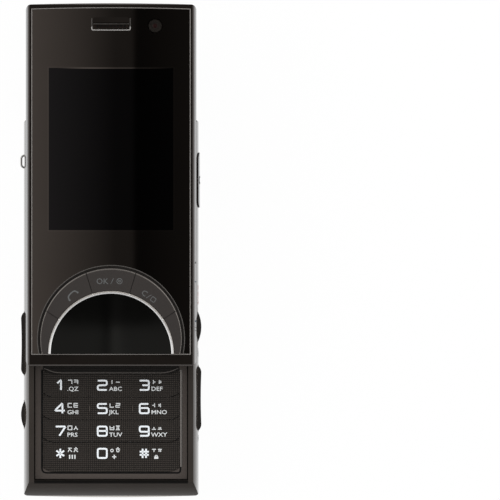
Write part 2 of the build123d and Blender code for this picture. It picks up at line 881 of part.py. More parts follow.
def key_web():
    """The rubber sheet under the keys, on a rim that stands on the board, with a hole at each plunger."""
    opening_x, opening_y = keypad_floor_opening()
    x_span = (opening_x[0] + fit_gap, opening_x[1] - fit_gap)
    y_span = (opening_y[0] + fit_gap, opening_y[1] - fit_gap)
    web = block(x_span, y_span, (board_top_z, web_z + web_thick))
    under_x = (x_span[0] + web_rim, x_span[1] - web_rim)
    under_y = (y_span[0] + web_rim, y_span[1] - web_rim)
    web -= block(under_x, under_y, (board_top_z - overrun, web_z))
    for _, x, low, high in key_places():
        hole = key_plunger_radius + press_gap
        web -= plunger(hole, plunger_place(x, low, high), (web_z - press_gap, web_z + web_thick + press_gap))
    return web


def key_domes():
    """Twelve snap domes on the board."""
    places = [plunger_place(x, low, high) for _, x, low, high in key_places()]
    size = (dome_radius, dome_top_radius, dome_height)
    return Compound(children=[dome(*size, place, board_top_z) for place in places])


# Boards and what is on them
def main_board():
    """The main circuit board, notched at the connector."""
    x_span = (-board_half_width, board_half_width)
    board = block(x_span, (board_foot_y, board_head_y), (board_z, board_top_z))
    return board - connector_pocket()


def shield_cans():
    """Two pressed metal cans on the board's front."""
    solids = []
    for number, length in enumerate(can_lengths):
        low = can_start_y + number * can_pitch_y
        face = clipped(2 * can_half_width, length, can_clip, (0, low + length / 2))
        solids.append(prism_z(face, (board_top_z, board_top_z + can_height)))
    return Compound(children=solids)


def loudspeaker():
    """A flat loudspeaker with a raised rim, which faces the slots in the back."""
    place = (speaker_x, speaker_y)
    low = board_z - speaker_height
    outline = clipped(speaker_width, speaker_length, speaker_clip, place)
    inside = clipped(speaker_width - 2 * speaker_rim, speaker_length - 2 * speaker_rim, speaker_clip, place)
    return prism_z(outline, (low, board_z)) - prism_z(inside, (low - overrun, low + speaker_rim_height))


def sim_frame():
    """A folded metal frame under the board that holds the card, open towards the battery."""
    x_span = (sim_x - sim_width / 2, sim_x + sim_width / 2)
    y_span = (sim_y - sim_length / 2, sim_y + sim_length / 2)
    low = board_z - sim_height
    inner_x = (x_span[0] + sim_sheet, x_span[1] - sim_sheet)
    inner_y = (y_span[0] - overrun, y_span[1] - sim_sheet)
    return block(x_span, y_span, (low, board_z)) - block(inner_x, inner_y, (low + sim_sheet, board_z))


def sim_card():
    """The card in its holder."""
    half = sim_width / 2 - sim_sheet - card_margin / 2
    low = sim_y - sim_length / 2 + card_margin
    high = sim_y + sim_length / 2 - sim_sheet - card_margin / 2
    z = board_z - sim_height + sim_sheet
    return block((sim_x - half, sim_x + half), (low, high), (z, z + card_thick))


def rear_camera():
    """The camera module under the board, its barrel down into the rear wall."""
    side = camera_side / 2
    body = block((-side, side), (camera_y - side, camera_y + side), (rear_wall + fit_gap, board_z))
    barrel_z = camera_window_z() + camera_window_thick + fit_gap
    return body + post(camera_barrel_radius, (0, camera_y), (barrel_z, board_z))


def camera_window_z():
    """The outer level of the camera window, just inside the bulge."""
    return -bulge_height + camera_window_inset


def rear_camera_window():
    """The clear disc over the camera."""
    z = camera_window_z()
    return post(camera_window_radius, (0, camera_y), (z, z + camera_window_thick))


def motor_z():
    """The level of the vibration motor's shaft."""
    return board_z - fit_gap - motor_radius


def vibration_motor():
    """The vibration motor and its shaft."""
    end = motor_y + motor_length
    shaft = rod_y(motor_shaft_radius, (end, end + weight_gap + weight_length), motor_x, motor_z())
    return rod_y(motor_radius, (motor_y, end), motor_x, motor_z()) + shaft


def vibration_weight():
    """The eccentric weight: a half disc with a hub bored for the shaft."""
    low = motor_y + motor_length + weight_gap
    ends = (low, low + weight_length)
    radius = motor_radius - slide_gap
    disc = rod_y(radius, ends, motor_x, motor_z())
    upper = block((motor_x - radius, motor_x + radius), ends, (motor_z(), motor_z() + radius))
    hub = rod_y(weight_hub_radius, ends, motor_x, motor_z())
    bore = (ends[0] - overrun, ends[1] + overrun)
    return disc - upper + hub - rod_y(motor_shaft_radius + fit_gap, bore, motor_x, motor_z())


def antenna():
    """A folded metal aerial along the head end, with two feet on the board."""
    inner_y = body_head_y - rear_end_wall - fit_gap
    low_z = rear_wall + fit_gap
    x_span = (-antenna_half_width, antenna_half_width)
    wall = block(x_span, (inner_y - antenna_sheet, inner_y), (low_z, board_z - antenna_sheet))
    plate = block(x_span, (inner_y - antenna_reach, inner_y), (low_z, low_z + antenna_sheet))
    solid = wall + plate
    for side in (-1, 1):
        end = side * antenna_half_width
        leg = tuple(sorted((end, end - side * antenna_leg_width)))
        solid += block(leg, (inner_y - antenna_reach, inner_y), (board_z - antenna_sheet, board_z))
    return solid


def microphone():
    """The microphone capsule by the chin."""
    place = (microphone_x, board_foot_y + microphone_edge)
    return post(microphone_radius, place, (board_top_z, board_top_z + microphone_height))


# Rear case and battery
def bulge():
    """The raised island on the back round the camera, with a steep lower end."""
    low = bulge_start_y
    profile = make_face(Polyline(
        (low, rear_wall),
        (low, 0),
        (low + bulge_ramp, -bulge_height),
        (bulge_flat_end_y, -bulge_height),
        (bulge_end_y, 0),
        (bulge_end_y, rear_wall),
        close=True,
    ))
    length = bulge_end_y - low
    plan = rounded(2 * bulge_half_width, length, bulge_corner_radius, (0, (low + bulge_end_y) / 2))
    island = prism_x(profile, (-bulge_half_width, bulge_half_width))
    return island & prism_z(plan, (-bulge_height - overrun, rear_wall + overrun))


def speaker_slots():
    """The row of slots in the back under the loudspeaker."""
    first = -(speaker_slot_count - 1) / 2
    slots = []
    for number in range(speaker_slot_count):
        y = speaker_y + (first + number) * speaker_slot_pitch
        half = speaker_width / 2 - speaker_slot_inset
        x_span = (speaker_x - half, speaker_x + half)
        y_span = (y - speaker_slot_width / 2, y + speaker_slot_width / 2)
        slots.append(block(x_span, y_span, (-overrun, rear_wall + overrun)))
    return slots


def cover_zone(seam_gap, ridge_gap):
    """The region of the battery cover, below the ridge and from the seam to the foot."""
    wide = (-body_width, body_width)
    return block(wide, (body_foot_y - overrun, cover_seam_y - seam_gap), (-overrun, ridge_z + ridge_gap))


def bay_y():
    """The battery bay's two ends."""
    return body_foot_y + bay_foot, cover_seam_y - bay_head_wall


def rear_case(form):
    """The silver case: flanks, battery bay and the head end with its camera island."""
    case = layer(form, (-overrun, split_z)) + bulge()
    case -= cover_zone(0, slide_gap)
    case -= block((-bay_half_width, bay_half_width), bay_y(), (-overrun, bay_z))
    head_y = (cover_seam_y + rear_wall, body_head_y - rear_end_wall)
    case -= block((-rear_inner_x, rear_inner_x), head_y, (rear_wall, split_z + overrun))
    pocket_x = board_half_width + fit_gap
    pocket_y = (board_foot_y - fit_gap, board_head_y + fit_gap)
    case -= block((-pocket_x, pocket_x), pocket_y, (board_z, split_z + overrun))
    case -= post(camera_barrel_radius + fit_gap, (0, camera_y), (-overrun, split_z))
    window_top = camera_window_z() + camera_window_thick + fit_gap / 2
    case -= post(camera_window_radius + fit_gap, (0, camera_y), (-overrun, window_top))
    for slot in speaker_slots():
        case -= slot
    case -= port_prism(0, (body_width / 2 - port_depth, body_width))
    case -= connector_pocket()
    case -= thumb_scoop()
    case -= bevel_plug(fit_gap, overrun)
    case -= case_screws(fit_gap)
    return case


def battery_cover(form):
    """The cover that slides off downwards: a thin tray whose sides follow the bevels."""
    cover = form & cover_zone(slide_gap, 0)
    flat_half = rear_flat_width / 2 + rear_bevel_run * cover_wall / ridge_z - cover_side_wall
    ridge_half = ridge_width / 2 - cover_side_wall
    right = [(flat_half, cover_wall), (ridge_half, ridge_z), (ridge_half, ridge_z + overrun)]
    left = [(-x, z) for x, z in reversed(right)]
    hollow = make_face(Polyline(*right, *left, close=True))
    return cover - prism_y(hollow, (body_foot_y + cover_foot_wall, cover_seam_y + overrun))


def battery_cell():
    """The battery, rounded along its long edges."""
    low, high = bay_y()
    half = bay_half_width - cell_side_gap
    top = high - contact_block_depth - contact_blade_reach - cell_gap
    section = RectangleRounded(2 * half, cell_thick, cell_corner_radius)
    face = Pos(0, cell_z + cell_thick / 2) * section
    return prism_y(face, (low + cell_side_gap, top))


def battery_contacts():
    """A block in the bay's head with three spring blades that meet the battery."""
    high = bay_y()[1]
    y_span = (high - contact_block_depth, high)
    half = contact_block_width / 2
    solid = block((-half, half), y_span, (bay_z - contact_block_height, bay_z))
    for number in (-1, 0, 1):
        x = number * contact_blade_pitch
        blade_x = (x - contact_blade_width / 2, x + contact_blade_width / 2)
        middle = bay_z - contact_block_height / 2
        blade_y = (y_span[0] - contact_blade_reach, y_span[0])
        blade_z = (middle - contact_blade_height / 2, middle + contact_blade_height / 2)
        solid += block(blade_x, blade_y, blade_z)
    return solid


# Slide mechanism
def flex_slot_cut(y, z_ends):
    """The slot that the flat cable goes through."""
    half = flex_half_width + slide_gap
    return block((-half, half), (y - flex_slot, y + flex_slot), z_ends)


def base_screw_places():
    """Where the fixed plate's four screws stand."""
    ends = (base_foot_y + plate_screw_inset, base_head_y - plate_screw_inset)
    return [(side * plate_screw_x, y) for side in (-1, 1) for y in ends]


def rivet_places():
    """Where the moving plate's four rivets stand."""
    ends = (moving_foot_y + plate_screw_inset, moving_head_y - plate_screw_inset)
    return [(side * plate_screw_x, y) for side in (-1, 1) for y in ends]


def plate_screws(gap):
    """Four flat-headed screws that hold the fixed plate on the case floor, or the holes for them."""
    solids = []
    for place in base_screw_places():
        head = peg(plate_screw_head_radius, place, (rail_floor_z, rail_floor_z + plate_screw_head))
        tip = channel_z - plate_screw_bite - gap
        solids.append(head + peg(plate_screw_radius + gap, place, (tip, rail_floor_z)))
    return solids


def lower_screws():
    """The screws of the lower half: four in the cases, four in the fixed slide plate."""
    return case_screws(0) + plate_screws(0)


def slide_base_plate():
    """The fixed plate: a folded sheet with a C-shaped rail along each side and two spring pins."""
    half = base_half_width
    y_span = (base_foot_y, base_head_y)
    plate = block((-half, half), y_span, (channel_z, rail_floor_z))
    for side in (-1, 1):
        wall = tuple(sorted((side * half, side * (half - rail_wall))))
        plate += block(wall, y_span, (rail_floor_z, lip_top_z))
        lip = tuple(sorted((side * half, side * (half - rail_lip))))
        plate += block(lip, y_span, (lip_z, lip_top_z))
        pin = (side * spring_base_x, spring_base_y)
        plate += peg(spring_pin_radius, pin, (rail_floor_z, rail_floor_z + spring_pin_height))
    plate -= flex_slot_cut(flex_base_y, (channel_z - overrun, rail_floor_z + press_gap))
    return plate - plate_screws(fit_gap)


def slide_moving_plate():
    """The moving plate: a sheet riveted to the slider's back, its flanges under the rails' lips."""
    flange_half = base_half_width - rail_wall - flange_side_gap
    neck_half = base_half_width - rail_lip - flange_lip_gap
    y_span = (moving_foot_y, moving_head_y)
    plate = block((-neck_half, neck_half), y_span, (moving_z, keel_z))
    for side in (-1, 1):
        neck = tuple(sorted((side * neck_half, side * (neck_half - neck_thick))))
        plate += block(neck, y_span, (flange_z, moving_z))
        flange = tuple(sorted((side * flange_half, side * (flange_half - flange_width))))
        plate += block(flange, y_span, (flange_z, flange_z + flange_thick))
        pin = (side * spring_moving_x, spring_moving_y)
        plate += peg(spring_pin_radius, pin, (moving_z - spring_pin_height, moving_z))
    plate -= flex_slot_cut(flex_slider_y, (moving_z - press_gap, keel_z + overrun))
    head_z = (moving_z - plate_screw_head, moving_z)
    return plate + [peg(plate_screw_head_radius, place, head_z) for place in rivet_places()]


def slide_spring(side):
    """One hairpin spring: an eye on each pin, two legs and a half turn between them."""
    reach = spring_eye_radius
    base = (spring_base_x, spring_base_y)
    moving = (spring_moving_x, spring_moving_y)
    outer_x = base[0] + reach
    inner_x = moving[0] - reach
    foot_y = base[1] - spring_leg
    first = JernArc((outer_x, base[1]), (0, 1), reach, spring_eye_turn)
    outer_leg = Line((outer_x, base[1]), (outer_x, foot_y))
    turn = ThreePointArc(
        (outer_x, foot_y),
        ((outer_x + inner_x) / 2, foot_y - (outer_x - inner_x) / 2),
        (inner_x, foot_y),
    )
    inner_leg = Line((inner_x, foot_y), (inner_x, moving[1]))
    last = JernArc((inner_x, moving[1]), (0, 1), reach, -spring_eye_turn)
    z = (rail_floor_z + moving_z) / 2
    path = [piece.edge() for piece in (first, outer_leg, turn, inner_leg, last)]
    wire = Pos(0, 0, z) * Wire(path)
    solid = sweep(Plane(wire @ 0, z_dir=wire % 0) * Rectangle(spring_wire, spring_wire), wire)
    return solid if side > 0 else mirror(solid, Plane.YZ)


def flex_cable():
    """The flat cable: out of the lower half, round a rolling fold and up into the slider."""
    low = rail_floor_z + flex_layer_gap
    high = moving_z - flex_layer_gap
    sheet = flex_sheet
    radius = (high - low) / 2
    middle = (low + high) / 2
    fold = flex_fold_y
    bend = Pos(fold, middle) * (Circle(radius) - Circle(radius - sheet))
    bend &= Pos(fold + radius, middle) * Rectangle(2 * radius, 4 * radius)
    face = bend
    for start, z in ((flex_base_y, low + sheet / 2), (flex_slider_y, high - sheet / 2)):
        face += Pos((start + fold) / 2, z) * Rectangle(fold - start, sheet)
    tail = low - floor_z
    face += Pos(flex_base_y, low - tail / 2 + sheet / 2) * Rectangle(sheet, tail + sheet)
    rise = slider_board_z - high - fit_gap
    face += Pos(flex_slider_y, high + rise / 2 - sheet / 2) * Rectangle(sheet, rise + sheet)
    return prism_x(face, (-flex_half_width, flex_half_width))


# Upper half
def slider_form():
    """The slider's outside as one solid, before it is parted into frame and rear housing."""
    plan = bowed(slider_width / 2, (slider_foot_y, slider_head_y), (0, slider_top_bow), slider_corner_radius)
    half = slider_width / 2
    right = [
        (keel_half_width, keel_z),
        (keel_half_width, wing_z),
        (half - slider_side_chamfer, wing_z),
        (half, wing_z + slider_side_chamfer),
        (half - slider_side_lean, front_z - slider_front_bevel),
        (half - slider_side_lean - slider_front_bevel, front_z),
    ]
    left = [(-x, z) for x, z in reversed(right)]
    section = make_face(Polyline(*right, *left, close=True))
    form = prism_y(section, (slider_foot_y, slider_head_y)) & prism_z(plan, (keel_z, front_z))
    return form & prism_x(slider_side_profile(), (-half, half))


def slider_side_profile():
    """The slider seen from its side: the ends draw in towards the back, and the keel stops short of them."""
    low, high = slider_foot_y, slider_head_y
    keel_low, keel_high = keel_foot_y, keel_head_y
    top_corner = (high - slider_top_setback, wing_z)
    bottom_corner = (low + slider_bottom_setback, wing_z)
    edge = slider_front_bevel
    edges = [
        Polyline((keel_low, keel_z), (keel_high, keel_z), (keel_high, wing_z), top_corner),
        SagittaArc(top_corner, (high, seam_z), -slider_top_setback * end_curve_share),
        Polyline((high, seam_z), (high, front_z - edge), (high - edge, front_z), (low + edge, front_z)),
        Polyline((low + edge, front_z), (low, front_z - edge), (low, seam_z)),
        SagittaArc((low, seam_z), bottom_corner, -slider_bottom_setback * end_curve_share),
        Polyline(bottom_corner, (keel_low, wing_z), (keel_low, keel_z)),
    ]
    return make_face(Curve() + edges)


def slider_rear_housing(form):
    """The slider's tub, whose keel runs in the channel between the rims."""
    wide = (-slider_width, slider_width)
    long = (slider_foot_y - overrun, slider_head_y + overrun)
    tub = form & block(wide, long, (keel_z - overrun, seam_z))
    inner_y = (slider_inner_foot_y, slider_inner_head_y)
    keel_x = keel_half_width - slider_wall
    tub -= block((-keel_x, keel_x), inner_y, (slider_board_z, seam_z + overrun))
    wing_x = slider_width / 2 - slider_wall
    tub -= block((-wing_x, wing_x), inner_y, (wing_z + wing_floor, seam_z + overrun))
    return tub - flex_slot_cut(flex_slider_y, (keel_z - overrun, slider_board_z + press_gap))


def slider_frame(form):
    """The front frame round the window, with the ledge that the window lies on."""
    wide = (-slider_width, slider_width)
    long = (slider_foot_y - overrun, slider_head_y + overrun)
    frame = form & block(wide, long, (seam_z, front_z + overrun))
    frame -= prism_z(rounded_window(0), (window_z, front_z + overrun))
    inner_x = window_half_width - ledge_width
    inner_y = (window_foot_y, window_head_y - ledge_width)
    return frame - block((-inner_x, inner_x), inner_y, (seam_z - overrun, front_z))


def rounded_window(gap):
    """The window's outline, or the opening for it."""
    y_span = (window_foot_y + gap, window_head_y - gap)
    return bowed(window_half_width - gap, y_span, (0, slider_top_bow), window_corner_radius)


def earpiece_scoop():
    """The hollow in the glass that slopes down to the earpiece slot."""
    middle = earpiece_y + earpiece_scoop_shift
    face = Pos(0, middle) * SlotOverall(earpiece_scoop_width, earpiece_scoop_height)
    low = middle - earpiece_scoop_height / 2
    high = middle + earpiece_scoop_height / 2
    slope = make_face(Polyline(
        (low, front_z + press_gap),
        (low, front_z - earpiece_scoop_depth),
        (earpiece_y + earpiece_slot_height / 2, front_z - earpiece_scoop_depth),
        (high, front_z + press_gap),
        close=True,
    ))
    half = earpiece_scoop_width / 2
    return prism_z(face, (window_z, front_z + overrun)) & prism_x(slope, (-half, half))


def display_window():
    """The glass over the display, cut away for the arch of keys and hollowed at the earpiece."""
    glass = prism_z(rounded_window(fit_gap), (window_z, front_z))
    glass -= post(arch_outer_radius + fit_gap, (0, arch_centre_y), (window_z - overrun, front_z + overrun))
    glass -= earpiece_scoop()
    slot = Pos(0, earpiece_y) * SlotOverall(earpiece_slot_width, earpiece_slot_height)
    return glass - prism_z(slot, (window_z - overrun, front_z + overrun))


def earpiece_grille():
    """The slotted strip in the earpiece's slot."""
    gap = fit_gap
    face = Pos(0, earpiece_y) * SlotOverall(earpiece_slot_width - 2 * gap, earpiece_slot_height - 2 * gap)
    top = front_z - grille_depth
    strip = prism_z(face, (top - grille_thick, top))
    room = earpiece_slot_width - earpiece_slot_height
    pitch = room / grille_slit_count
    for number in range(grille_slit_count):
        x = (number - (grille_slit_count - 1) / 2) * pitch
        half = grille_slit_width / 2
        y_span = (earpiece_y - grille_slit_height / 2, earpiece_y + grille_slit_height / 2)
        strip -= block((x - half, x + half), y_span, (window_z - overrun, front_z))
    return strip


def earpiece():
    """The earpiece capsule on the slider board, under its slot."""
    place = (0, earpiece_y - receiver_shift)
    face = rounded(receiver_width, receiver_length, receiver_corner_radius, place)
    return prism_z(face, (slider_board_top_z, slider_board_top_z + receiver_height))


def front_camera():
    """The small camera behind the glass, with a recessed lens."""
    side = front_camera_side / 2
    x_span = (front_camera_x - side, front_camera_x + side)
    y_span = (front_camera_y - side, front_camera_y + side)
    body = block(x_span, y_span, (slider_board_top_z, slider_board_top_z + front_camera_height))
    place = (front_camera_x, front_camera_y)
    top = window_z - fit_gap
    body += post(front_camera_barrel_radius, place, (slider_board_top_z, top))
    return body - post(front_camera_lens_radius, place, (top - front_camera_lens_depth, top + overrun))


def display_panel():
    """The display module: a tray with a raised rim, and a foot for its driver."""
    low = slider_foot_y + panel_start
    high = slider_head_y - panel_head_inset
    half = panel_half_width
    panel = block((-half, half), (low, high), (slider_board_top_z, panel_top_z))
    inner_x = half - panel_rim_width
    inner_y = (low + panel_foot, high - panel_rim_width)
    return panel - block((-inner_x, inner_x), inner_y, (panel_top_z - panel_recess, panel_top_z + overrun))


def slider_board():
    """The slider's board, on the floor of its tub."""
    half = slider_board_half_width
    low = slider_inner_foot_y + slider_board_edge_gap
    high = slider_inner_head_y - slider_board_edge_gap
    return block((-half, half), (low, high), (slider_board_z, slider_board_top_z))


# Arch of keys
def above_base(z_ends):
    """The region above the arch's straight base."""
    reach = arch_outer_radius + arch_centre_rise + overrun
    return block((-reach, reach), (arch_base_y, arch_base_y + reach), z_ends)


def arch_half(radius, centre_y, z_ends):
    """An upright round disc, cut off straight along the arch's base."""
    return post(radius, (0, centre_y), z_ends) & above_base(z_ends)


def arch_wedge(from_angle, to_angle):
    """A wedge from the ring's middle between two angles from straight up, positive to the right."""
    reach = 2 * arch_outer_radius
    base = (0, window_foot_y)
    rim = []
    for angle in (from_angle, (from_angle + to_angle) / 2, to_angle):
        turn = radians(angle)
        rim.append((reach * sin(turn), window_foot_y + reach * cos(turn)))
    return make_face(Polyline(base, *rim, close=True))


def arch_band():
    """The whole band of arch keys, sloped down towards its feet and bevelled round its outside."""
    low = tray_z + arch_tray_thick + arch_travel + press_gap
    top = front_z + arch_key_proud
    shoulder = top - arch_key_bevel_height
    band = arch_half(arch_key_radius, arch_centre_y, (low, shoulder))
    cone_middle = (shoulder + top) / 2
    cone = Cone(arch_key_radius, arch_key_radius - arch_key_bevel, arch_key_bevel_height)
    band += (Pos(0, arch_centre_y, cone_middle) * cone) & above_base((shoulder, top))
    inner = arch_ring_radius + arch_hairline
    band -= post(inner, (0, window_foot_y), (low - overrun, top + overrun))
    head = arch_centre_y + arch_key_radius
    fall = make_face(Polyline(
        (arch_base_y, top - arch_key_fall),
        (head, top),
        (head, top + overrun),
        (arch_base_y, top + overrun),
        close=True,
    ))
    return band - prism_x(fall, (-arch_outer_radius, arch_outer_radius))


def hairline_angle():
    """The angle of the hairline between two arch keys."""
    return degrees(arch_hairline / arch_ring_radius) / 2


def arch_dome_place(angle):
    """The middle of the band at an angle from straight up."""
    turn = radians(angle)
    outer = arch_centre_rise * cos(turn) + (arch_key_radius**2 - (arch_centre_rise * sin(turn)) ** 2) ** 0.5
    middle = (arch_ring_radius + outer) / 2
    return middle * sin(turn), window_foot_y + middle * cos(turn)


def arch_key(from_angle, to_angle, dome_angle):
    """One key of the arch with its plunger."""
    gap = hairline_angle()
    low = tray_z + arch_tray_thick + arch_travel + press_gap
    wedge = arch_wedge(from_angle + gap, to_angle - gap)
    piece = arch_band() & prism_z(wedge, (low - overrun, front_z + overrun))
    plunger_low = slider_board_top_z + arch_dome_height + arch_travel + press_gap / 2
    return piece + plunger(arch_plunger_radius, arch_dome_place(dome_angle), (plunger_low, low))


def arch_trim():
    """The two unmarked feet of the arch, which stay still."""
    gap = hairline_angle()
    solids = []
    for side in (-1, 1):
        angles = sorted((side * (arch_side_half_angle + gap), side * half_turn / 2))
        wedge = prism_z(arch_wedge(*angles), (tray_z, front_z + overrun))
        solids.append(arch_band() & wedge)
    return Compound(children=solids)


def half_ring():
    """The bright half ring, bevelled along its top."""
    inner = arch_ring_radius - arch_ring_width
    top = front_z + arch_ring_proud
    shoulder = top - arch_ring_bevel
    section = make_face(Polyline(
        (inner, ring_bottom_z),
        (arch_ring_radius, ring_bottom_z),
        (arch_ring_radius, shoulder),
        (arch_ring_radius - arch_ring_bevel, top),
        (inner + arch_ring_bevel, top),
        (inner, shoulder),
        close=True,
    ))
    ring = Pos(0, window_foot_y, 0) * revolve(Plane.XZ * section, Axis.Z, half_turn)
    return ring & above_base((ring_bottom_z, front_z + overrun))


def scroll_pad():
    """The glossy half-moon touch pad, gently dished."""
    radius = arch_ring_radius - arch_ring_width - arch_pad_gap
    top = front_z + arch_pad_proud
    pad = arch_half(radius, window_foot_y, (ring_bottom_z, top))
    ball = (radius**2 + arch_pad_dish**2) / (2 * arch_pad_dish)
    return pad - Pos(0, window_foot_y, top - arch_pad_dish + ball) * (Rot(90, 0, 0) * Sphere(ball))


def arch_bezel():
    """The dark tray under the arch, with a raised edge round the keys and a skirt down to the board."""
    top = front_z - arch_bezel_sunk
    tray = arch_half(arch_outer_radius, arch_centre_y, (slider_board_top_z, top))
    tray -= arch_half(arch_key_radius + arch_hairline, arch_centre_y, (ring_bottom_z, top + overrun))
    under_z = (slider_board_top_z - overrun, tray_z)
    tray -= arch_half(arch_outer_radius - arch_tray_wall, arch_centre_y, under_z)
    for side in (-1, 1):
        wing = tuple(sorted((side * slider_board_half_width, side * slider_width)))
        tray -= block(wing, (slider_foot_y, slider_head_y), under_z)
    for angle in (-arch_side_dome_angle, 0, arch_side_dome_angle):
        hole = arch_plunger_radius + press_gap
        tray -= plunger(hole, arch_dome_place(angle), (slider_board_top_z, ring_bottom_z + press_gap))
    return tray


def arch_domes():
    """Snap domes on the slider board under the three arch keys."""
    angles = (-arch_side_dome_angle, 0, arch_side_dome_angle)
    places = [arch_dome_place(angle) for angle in angles]
    size = (arch_dome_radius, arch_dome_top_radius, arch_dome_height)
    return Compound(children=[dome(*size, place, slider_board_top_z) for place in places])


def build():
    """Make every piece and write it."""
    os.makedirs("parts", exist_ok=True)
    body = body_form()
    save(front_case(body), "front_case")
    save(rear_case(body), "rear_case")
    save(battery_cover(body), "battery_cover")
    save(port_cover(body), "port_cover")
    save(keypad_bezel(), "keypad_bezel")
    for name, x, low, high in key_places():
        save(key_top(x, low, high), f"key_{name}")
    save(key_web(), "key_web")
    save(key_domes(), "key_domes")
    save(main_board(), "main_board")
    save(shield_cans(), "shield_cans")
    save(battery_cell(), "battery_cell")
    save(battery_contacts(), "battery_contacts")
    save(loudspeaker(), "loudspeaker")
    save(Compound(children=[sim_frame(), sim_card()]), "sim_holder")
    save(rear_camera(), "rear_camera")
    save(rear_camera_window(), "rear_camera_window")
    save(vibration_motor(), "vibration_motor")
    save(vibration_weight(), "vibration_weight")
    save(antenna(), "antenna")
    save(microphone(), "microphone")
    save(data_connector(), "data_connector")
    save(strap_loop(strap_wire_radius), "strap_loop")
    save(bevel_plug(0, plug_proud), "bevel_plug")
    save(Compound(children=lower_screws()), "lower_screws")
    save(push_key(1, end_key_y, end_key_length), "end_key")
    save(push_key(-1, left_key_y, left_key_length), "left_key")
    save(rocker_key(1, camera_rocker_y, camera_rocker_length), "camera_rocker")
    save(rocker_key(-1, volume_rocker_y, volume_rocker_length), "volume_rocker")
    save(side_switches(), "side_switches")
    save(slide_base_plate(), "slide_base_plate")
    save(slide_moving_plate(), "slide_moving_plate")
    save(Compound(children=[slide_spring(side) for side in (-1, 1)]), "slide_springs")
    save(flex_cable(), "flex_cable")
    slider = slider_form()
    save(slider_frame(slider), "slider_frame")
    save(slider_rear_housing(slider), "slider_rear_housing")
    save(display_window(), "display_window")
    save(display_panel(), "display_panel")
    save(slider_board(), "slider_board")
    save(earpiece_grille(), "earpiece_grille")
    save(earpiece(), "earpiece")
    save(front_camera(), "front_camera")
    save(arch_key(-arch_side_half_angle, -arch_ok_half_angle, -arch_side_dome_angle), "send_key")
    save(arch_key(-arch_ok_half_angle, arch_ok_half_angle, 0), "ok_key")
    save(arch_key(arch_ok_half_angle, arch_side_half_angle, arch_side_dome_angle), "cancel_key")
    save(arch_trim(), "arch_trim")
    save(half_ring(), "half_ring")
    save(scroll_pad(), "scroll_pad")
    save(arch_bezel(), "arch_bezel")
    save(arch_domes(), "arch_domes")


build()
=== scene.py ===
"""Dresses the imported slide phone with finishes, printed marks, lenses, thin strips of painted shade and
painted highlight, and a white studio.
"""

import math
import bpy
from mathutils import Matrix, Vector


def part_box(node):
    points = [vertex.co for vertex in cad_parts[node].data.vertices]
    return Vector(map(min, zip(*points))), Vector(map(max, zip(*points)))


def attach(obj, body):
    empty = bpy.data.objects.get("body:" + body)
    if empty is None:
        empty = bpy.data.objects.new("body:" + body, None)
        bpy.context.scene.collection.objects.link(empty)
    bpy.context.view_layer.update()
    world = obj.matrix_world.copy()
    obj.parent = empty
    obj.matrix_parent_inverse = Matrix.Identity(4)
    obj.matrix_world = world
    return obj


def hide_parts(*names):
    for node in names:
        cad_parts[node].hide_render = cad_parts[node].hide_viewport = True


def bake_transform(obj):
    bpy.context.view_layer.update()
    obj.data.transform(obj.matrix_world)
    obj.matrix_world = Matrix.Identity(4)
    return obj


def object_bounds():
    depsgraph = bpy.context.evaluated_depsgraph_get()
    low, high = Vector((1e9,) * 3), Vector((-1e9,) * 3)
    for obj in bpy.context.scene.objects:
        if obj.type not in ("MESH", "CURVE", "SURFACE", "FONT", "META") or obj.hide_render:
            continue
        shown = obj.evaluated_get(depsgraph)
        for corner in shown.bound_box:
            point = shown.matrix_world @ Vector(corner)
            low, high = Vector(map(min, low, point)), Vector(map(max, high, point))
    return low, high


bl_info = {
    "name": "Slide phone",
    "version": (1, 0, 0),
    "blender": (4, 5, 0),
    "location": "View3D > Sidebar > Slide phone",
    "description": "Gives the packed slide phone its finishes, marks and trim, and sets up its studio",
    "category": "Object",
}

import bmesh
import bpy
from bpy.props import FloatProperty, FloatVectorProperty, PointerProperty
from mathutils import Vector

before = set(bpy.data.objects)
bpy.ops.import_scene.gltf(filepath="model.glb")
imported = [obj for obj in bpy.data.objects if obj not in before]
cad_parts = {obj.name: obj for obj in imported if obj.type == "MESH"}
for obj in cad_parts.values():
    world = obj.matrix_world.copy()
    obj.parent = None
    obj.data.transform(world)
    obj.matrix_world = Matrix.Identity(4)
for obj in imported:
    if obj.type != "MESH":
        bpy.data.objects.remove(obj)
CAD_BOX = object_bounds()
MM = 0.001
DOWN = Vector((0, 0, -1))
LEFTWARD = Vector((-1, 0, 0))

# Radius of a stroke's corners that look sharp
SHARP = 0.01 * MM

# The number keys from the top row down, with the letters printed beside each digit
KEY_ROWS = (("1", "2", "3"), ("4", "5", "6"), ("7", "8", "9"), ("star", "0", "hash"))
LATIN = {
    "1": ".QZ", "2": "ABC", "3": "DEF", "4": "GHI", "5": "JKL", "6": "MNO",
    "7": "PRS", "8": "TUV", "9": "WXY",
}
JAMO_PAIRS = {
    "1": ("giyeok", "kieuk"), "2": ("i", "eu"), "3": ("a", "ya"),
    "4": ("digeut", "tieut"), "5": ("nieun", "rieul"), "6": ("eo", "yeo"),
    "7": ("mieum", "siot"), "8": ("bieup", "pieup"), "9": ("o", "yo"),
    "star": ("jieut", "chieut"), "0": ("ieung", "hieut"), "hash": ("u", "yu"),
}

